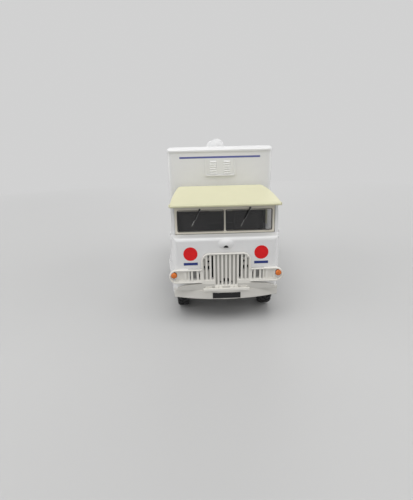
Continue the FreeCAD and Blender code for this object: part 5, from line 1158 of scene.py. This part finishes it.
class TRUCK_OT_running_gear(bpy.types.Operator):
    """Adds the bolts, bands and joints of the frame, springs, shafts, tank, locker and exhaust"""

    bl_idname = "truck.running_gear"
    bl_label = "Running Gear"

    # Where the tank's straps lie along the truck
    STRAPS = (-7.55, 0.45)

    def execute(self, context):
        self.add_spring_bolts()
        self.add_shaft_joints()
        self.add_frame_rivets(drawn_sizes(context))
        self.add_tank()
        self.add_locker()
        self.add_exhaust_bands()
        return {"FINISHED"}

    def add_spring_bolts(self):
        """U-bolts over the axle tubes, bands round the leaves and pins at the eyes."""
        leaf, hoops_off, bands_off, pins_off, pin_half = 13.2, 1.0, 5.5, 10.3, 1.5
        plate_z, band_z, pin_z, nut_z = 8.95, 15.2, 16.8, 8.45
        hoop = (11.8, 8.8), (11.8, 15.0), (12.0, 15.25), (14.4, 15.25), (14.6, 15.0), (14.6, 8.8)
        bolts = Fitting("spring_bolts", "steel", "steel")
        bands = Fitting("spring_bands", "black", "black_plastic")
        for axle, way in ((middle(f"{end}_axle").y, way) for end in ENDS for way in WAYS):
            for y in both(axle, hoops_off):
                bolts.bar([(x * way, y, z) for x, z in hoop], radius=0.2)
                for x in (hoop[0][0], hoop[-1][0]):
                    bolts.knob(DISC_SHARES, (x * way, y, nut_z), UP, radius=0.4, high=0.35, steps=6)
            bolts.pad((leaf * way, axle, plate_z), half=(1.8, 1.4, 0.2), ease=0.08)
            for y in both(axle, bands_off):
                bands.pad((leaf * way, y, band_z), half=(1.35, 0.35, 0.6), ease=0.1)
            for y in both(axle, pins_off):
                inner, outer = both(leaf * way, pin_half * way)
                bands.rod((inner, y, pin_z), (outer, y, pin_z), radius=0.35)
        make(bolts, bands)

    def add_shaft_joints(self):
        """Joints at the ends of the propeller shafts, the casing joints and the gearbox's bolts."""
        flange = (0, 0), (0, 1.5), (0.5, 1.5), (0.6, 1.1), (1.5, 1.1), (1.7, 0.7)
        flange_circle, flange_thick, joint_circle, joint_half = 1.15, 0.5, 3.75, 0.3
        box_bolts = [(x, z) for x in (-3.6, -1.2, 1.2, 3.6) for z in (8.5, 14.3)]
        rib_first, rib_pitch, rib_count, rib_z = -10.3, 1.8, 4, 7.525
        front, rear = (corner.y for corner in span("propeller_shafts"))
        box_front, box_rear = (corner.y for corner in span("transfer_gearbox"))
        height = middle("front_axle").z
        joints = Fitting("shaft_joints", "black", "black_plastic")
        bolts = Fitting("gear_bolts", "steel", "steel")
        for y, way in ((front, 1), (box_front, -1), (box_rear, 1), (rear, -1)):
            out, centre = BACK * way, Vector((0, y, height))
            joints.turned(flange, centre, out, steps=24)
            for way_out in spokes(4, 0.5, LEFT):
                place = centre + way_out * flange_circle + out * flange_thick
                bolts.dome(place, out, radius=0.24, high=0.2, steps=6)
        for end in ENDS:
            centre = middle(f"{end}_axle")
            joints.ring(centre, LEFT, radius=3.78, thick=0.28, steps=48)
            for way_out in spokes(10):
                for out in (LEFT, -LEFT):
                    place = centre + way_out * joint_circle + out * joint_half
                    bolts.dome(place, out, radius=0.3, high=0.25, steps=6)
        for y, out in ((box_front, -BACK), (box_rear, BACK)):
            for x, z in box_bolts:
                bolts.dome((x, y, z), out, radius=0.3, high=0.22, steps=6)
        for y in row(rib_first, rib_pitch, rib_count):
            joints.pad((0, y, rib_z), half=(3.4, 0.2, 0.175), ease=0.08)
        make(joints, bolts)

    def add_frame_rivets(self, sizes):
        """Rivets along the outer sides of the rails, clear of the spring hangers and the tank's straps."""
        rail, height, start, pitch, count, clear = 9.2, 16.6, -46.0, 3.9, 24, 1.4
        hangers = (-41.6, -21.6, 16.4, 36.4, *self.STRAPS)
        heads = Fitting("frame_rivets", "black", "black_plastic")
        for y in row(start, pitch, count):
            if all(abs(y - hanger) > clear for hanger in hangers):
                for way in WAYS:
                    heads.dome((rail * way, y, height), LEFT * way, sizes.rivet, sizes.rivet_high)
        heads.make()

    def add_tank(self):
        """The tank's straps and its filler cap with a latch."""
        strap_x, strap_wide, height = 14.0, 1.0, middle("fuel_tank").z
        cap_profile, cap_place = ((0, 1.15), (0.3, 1.15), (0.4, 0.95), (0.4, 0)), (17.75, -3.55, 15.6)
        latch = (18.1, -4.3, 15.45), (18.35, -2.8, 15.75)
        straps = Fitting("tank_straps", "steel", "steel")
        for y in self.STRAPS:
            straps.band((strap_x, y + strap_wide / 2, height), LEFT, UP, half=(3.34, 3.44), corner=1.5,
                        width=0.2, depth=strap_wide)
        cap = Fitting("filler_cap", "steel", "steel")
        cap.turned(cap_profile, cap_place, LEFT, steps=16)
        cap.block(*latch, ease=0.06)
        make(straps, cap)

    def add_locker(self):
        """The locker's lid with its hinges, and its latch."""
        face, centre = span("tool_locker")[0].x, middle("tool_locker")
        hinges, hinge_x, hinge_z, hinge_half = (-6.4, -0.7), -17.35, 11.6, 0.7
        latch, pull = ((-17.5, -4.1, 15.9), (-17.15, -3.0, 17.0)), (-17.5, -3.55, 16.2)
        lid = Fitting("locker_lid", "black", "black_plastic")
        lid.band((face, centre.y, centre.z), -BACK, UP, half=(5.0, 2.8), corner=0.4, width=0.4, depth=0.15)
        for y in hinges:
            start, end = both(y, hinge_half)
            lid.rod((hinge_x, start, hinge_z), (hinge_x, end, hinge_z), radius=0.22)
        catch = Fitting("locker_latch", "steel", "steel")
        catch.block(*latch, ease=0.08)
        catch.ring(pull, LEFT, radius=0.35, thick=0.09, steps=16, sides=6)
        make(lid, catch)

    def add_exhaust_bands(self):
        """The silencer's end seams and clamps, and the tail pipe's lip."""
        silencer_x, height, clamps = -5.2, 11.9, (0.25, 3.2, 7.8, 10.75)
        tail, inlet = (-20.45, 9.3, height), (-3.8, -3.0, height)
        bands = Fitting("exhaust_bands", "steel", "steel")
        for y in clamps:
            bands.ring((silencer_x, y, height), BACK, radius=1.68, thick=0.16, steps=32)
        bands.ring(tail, LEFT, radius=0.58, thick=0.12, steps=20, sides=6)
        bands.ring(inlet, BACK, radius=0.62, thick=0.2, steps=20, sides=6)
        bands.make()


class TRUCK_OT_stage(bpy.types.Operator):
    """Makes the pale floor, the soft studio light and the camera"""

    bl_idname = "truck.stage"
    bl_label = "Stage"

    # The world's light on the truck, what the camera sees behind it, and the share that the floor throws back
    WORLD, BACKDROP, BOUNCE = 0.36, 0.64, 0.7
    # Each lamp's name, place, size and power
    LAMPS = (("TopLight", (-0.05, -0.29, 0.92), 0.8, 4.35),
             ("LeftLight", (0.75, -0.1, 0.35), 0.8, 2.5),
             ("RightLight", (-0.75, -0.1, 0.35), 0.8, 2.5),
             ("FrontLight", (-0.15, -0.8, 0.3), 0.4, 0.45),
             ("RearLight", (0.1, 0.8, 0.35), 0.4, 2.0))

    def execute(self, context):
        scene = context.scene
        scene.view_settings.view_transform = "Standard"
        self.add_floor(scene)
        self.add_world(scene)
        for lamp in self.LAMPS:
            self.add_lamp(scene, *lamp)
        self.add_camera(scene)
        return {"FINISHED"}

    def glow(self, nodes, kind, seen):
        """The backdrop's plain white light, stronger where it is seen than where it lights the truck."""
        return Signal(nodes.node(kind, {}, {
            "Color": (1.0, 1.0, 1.0, 1.0),
            "Strength": seen * (self.BACKDROP - self.WORLD) + self.WORLD}).outputs[0])

    def add_floor(self, scene):
        """A floor that takes the truck's shadow near it and passes into the backdrop further out."""
        tone, size, fade_from, fade = scene.truck_colours.floor, 3.0, 0.14, 2.2
        finish = Finish("StudioFloor")
        seen = finish.seen()
        tint = finish.waver(finish.noise(8.0, 2.0), tone, 0.98, 1.0)
        tint = finish.mix(seen, shade(tone, self.BOUNCE), tint)
        near = finish.shader(Base_Color=tint, Roughness=0.9, Specular_IOR_Level=0.2)
        far = finish.signal("Value", "VectorMath", {"operation": "LENGTH"}, {0: finish.place})
        finish.end(finish.node("MixShader", {}, {0: ((far - fade_from) * fade).clamped(),
                                                 1: Signal(near.outputs[0]),
                                                 2: self.glow(finish, "Emission", seen)}))
        drawing = bmesh.new()
        bmesh.ops.create_grid(drawing, x_segments=1, y_segments=1, size=size)
        mesh = bpy.data.meshes.new("floor")
        drawing.to_mesh(mesh)
        drawing.free()
        mesh.materials.append(finish.material)
        floor = bpy.data.objects.new("floor", mesh)
        scene.collection.objects.link(floor)

    def add_world(self, scene):
        """Even light from all round, which shows as the backdrop where it is seen."""
        world = bpy.data.worlds.new("StudioWorld")
        scene.world = world
        world.use_nodes = True
        nodes = Nodes(world.node_tree)
        nodes.node("OutputWorld", {}, {0: self.glow(nodes, "Background", nodes.seen())})

    def add_lamp(self, scene, name, place, size, power):
        """A square soft lamp that faces the truck's middle."""
        aim = Vector((0, 0, 0.035))
        data = bpy.data.lights.new(name, "AREA")
        data.size = size
        data.energy = power
        lamp = bpy.data.objects.new(name, data)
        lamp.location = place
        lamp.rotation_mode = "QUATERNION"
        lamp.rotation_quaternion = (aim - Vector(place)).to_track_quat("-Z", "Y")
        scene.collection.objects.link(lamp)

    def add_camera(self, scene):
        """The camera stands where the photograph was taken from."""
        place = (-0.0098, -0.1665, 0.0686)
        yaw, pitch, roll = (math.radians(angle) for angle in (1.05, 17.57, -1.4))
        data = bpy.data.cameras.new("PhotoCamera")
        data.lens = 22.47
        data.sensor_width = 36.0
        data.clip_start = 0.005
        camera = bpy.data.objects.new("PhotoCamera", data)
        turn = Matrix.Rotation(-yaw, 4, "Z") @ Matrix.Rotation(math.pi / 2 - pitch, 4, "X")
        camera.matrix_world = Matrix.Translation(place) @ turn @ Matrix.Rotation(roll, 4, "Z")
        scene.collection.objects.link(camera)
        scene.camera = camera


class TRUCK_PT_panel(bpy.types.Panel):
    """Lists the truck's sizes, colours and steps"""

    bl_label = "Toy Ambulance Truck"
    bl_idname = "TRUCK_PT_panel"
    bl_space_type = "VIEW_3D"
    bl_region_type = "UI"
    bl_category = "Ambulance"

    def draw(self, context):
        for group in (context.scene.truck_sizes, context.scene.truck_colours):
            box = self.layout.box()
            for name in type(group).__annotations__:
                box.prop(group, name)
        for operator in OPERATORS:
            self.layout.operator(operator.bl_idname)


OPERATORS = (TRUCK_OT_finishes, TRUCK_OT_markings, TRUCK_OT_tyres, TRUCK_OT_wheel_trim, TRUCK_OT_nose_trim,
             TRUCK_OT_screen_trim, TRUCK_OT_cab_fittings, TRUCK_OT_box_trim, TRUCK_OT_rear_trim,
             TRUCK_OT_running_gear, TRUCK_OT_stage)
CLASSES = (TruckSizes, TruckColours, *OPERATORS, TRUCK_PT_panel)


def register():
    for item in CLASSES:
        bpy.utils.register_class(item)
    bpy.types.Scene.truck_sizes = bpy.props.PointerProperty(type=TruckSizes)
    bpy.types.Scene.truck_colours = bpy.props.PointerProperty(type=TruckColours)


def unregister():
    del bpy.types.Scene.truck_colours
    del bpy.types.Scene.truck_sizes
    for item in reversed(CLASSES):
        bpy.utils.unregister_class(item)


def main():
    """Builds the whole truck."""
    register()
    bpy.ops.truck.finishes()
    bpy.ops.truck.markings()
    bpy.ops.truck.tyres()
    bpy.ops.truck.wheel_trim()
    bpy.ops.truck.nose_trim()
    bpy.ops.truck.screen_trim()
    bpy.ops.truck.cab_fittings()
    bpy.ops.truck.box_trim()
    bpy.ops.truck.rear_trim()
    bpy.ops.truck.running_gear()
    bpy.ops.truck.stage()


if __name__ == "__main__":
    main()
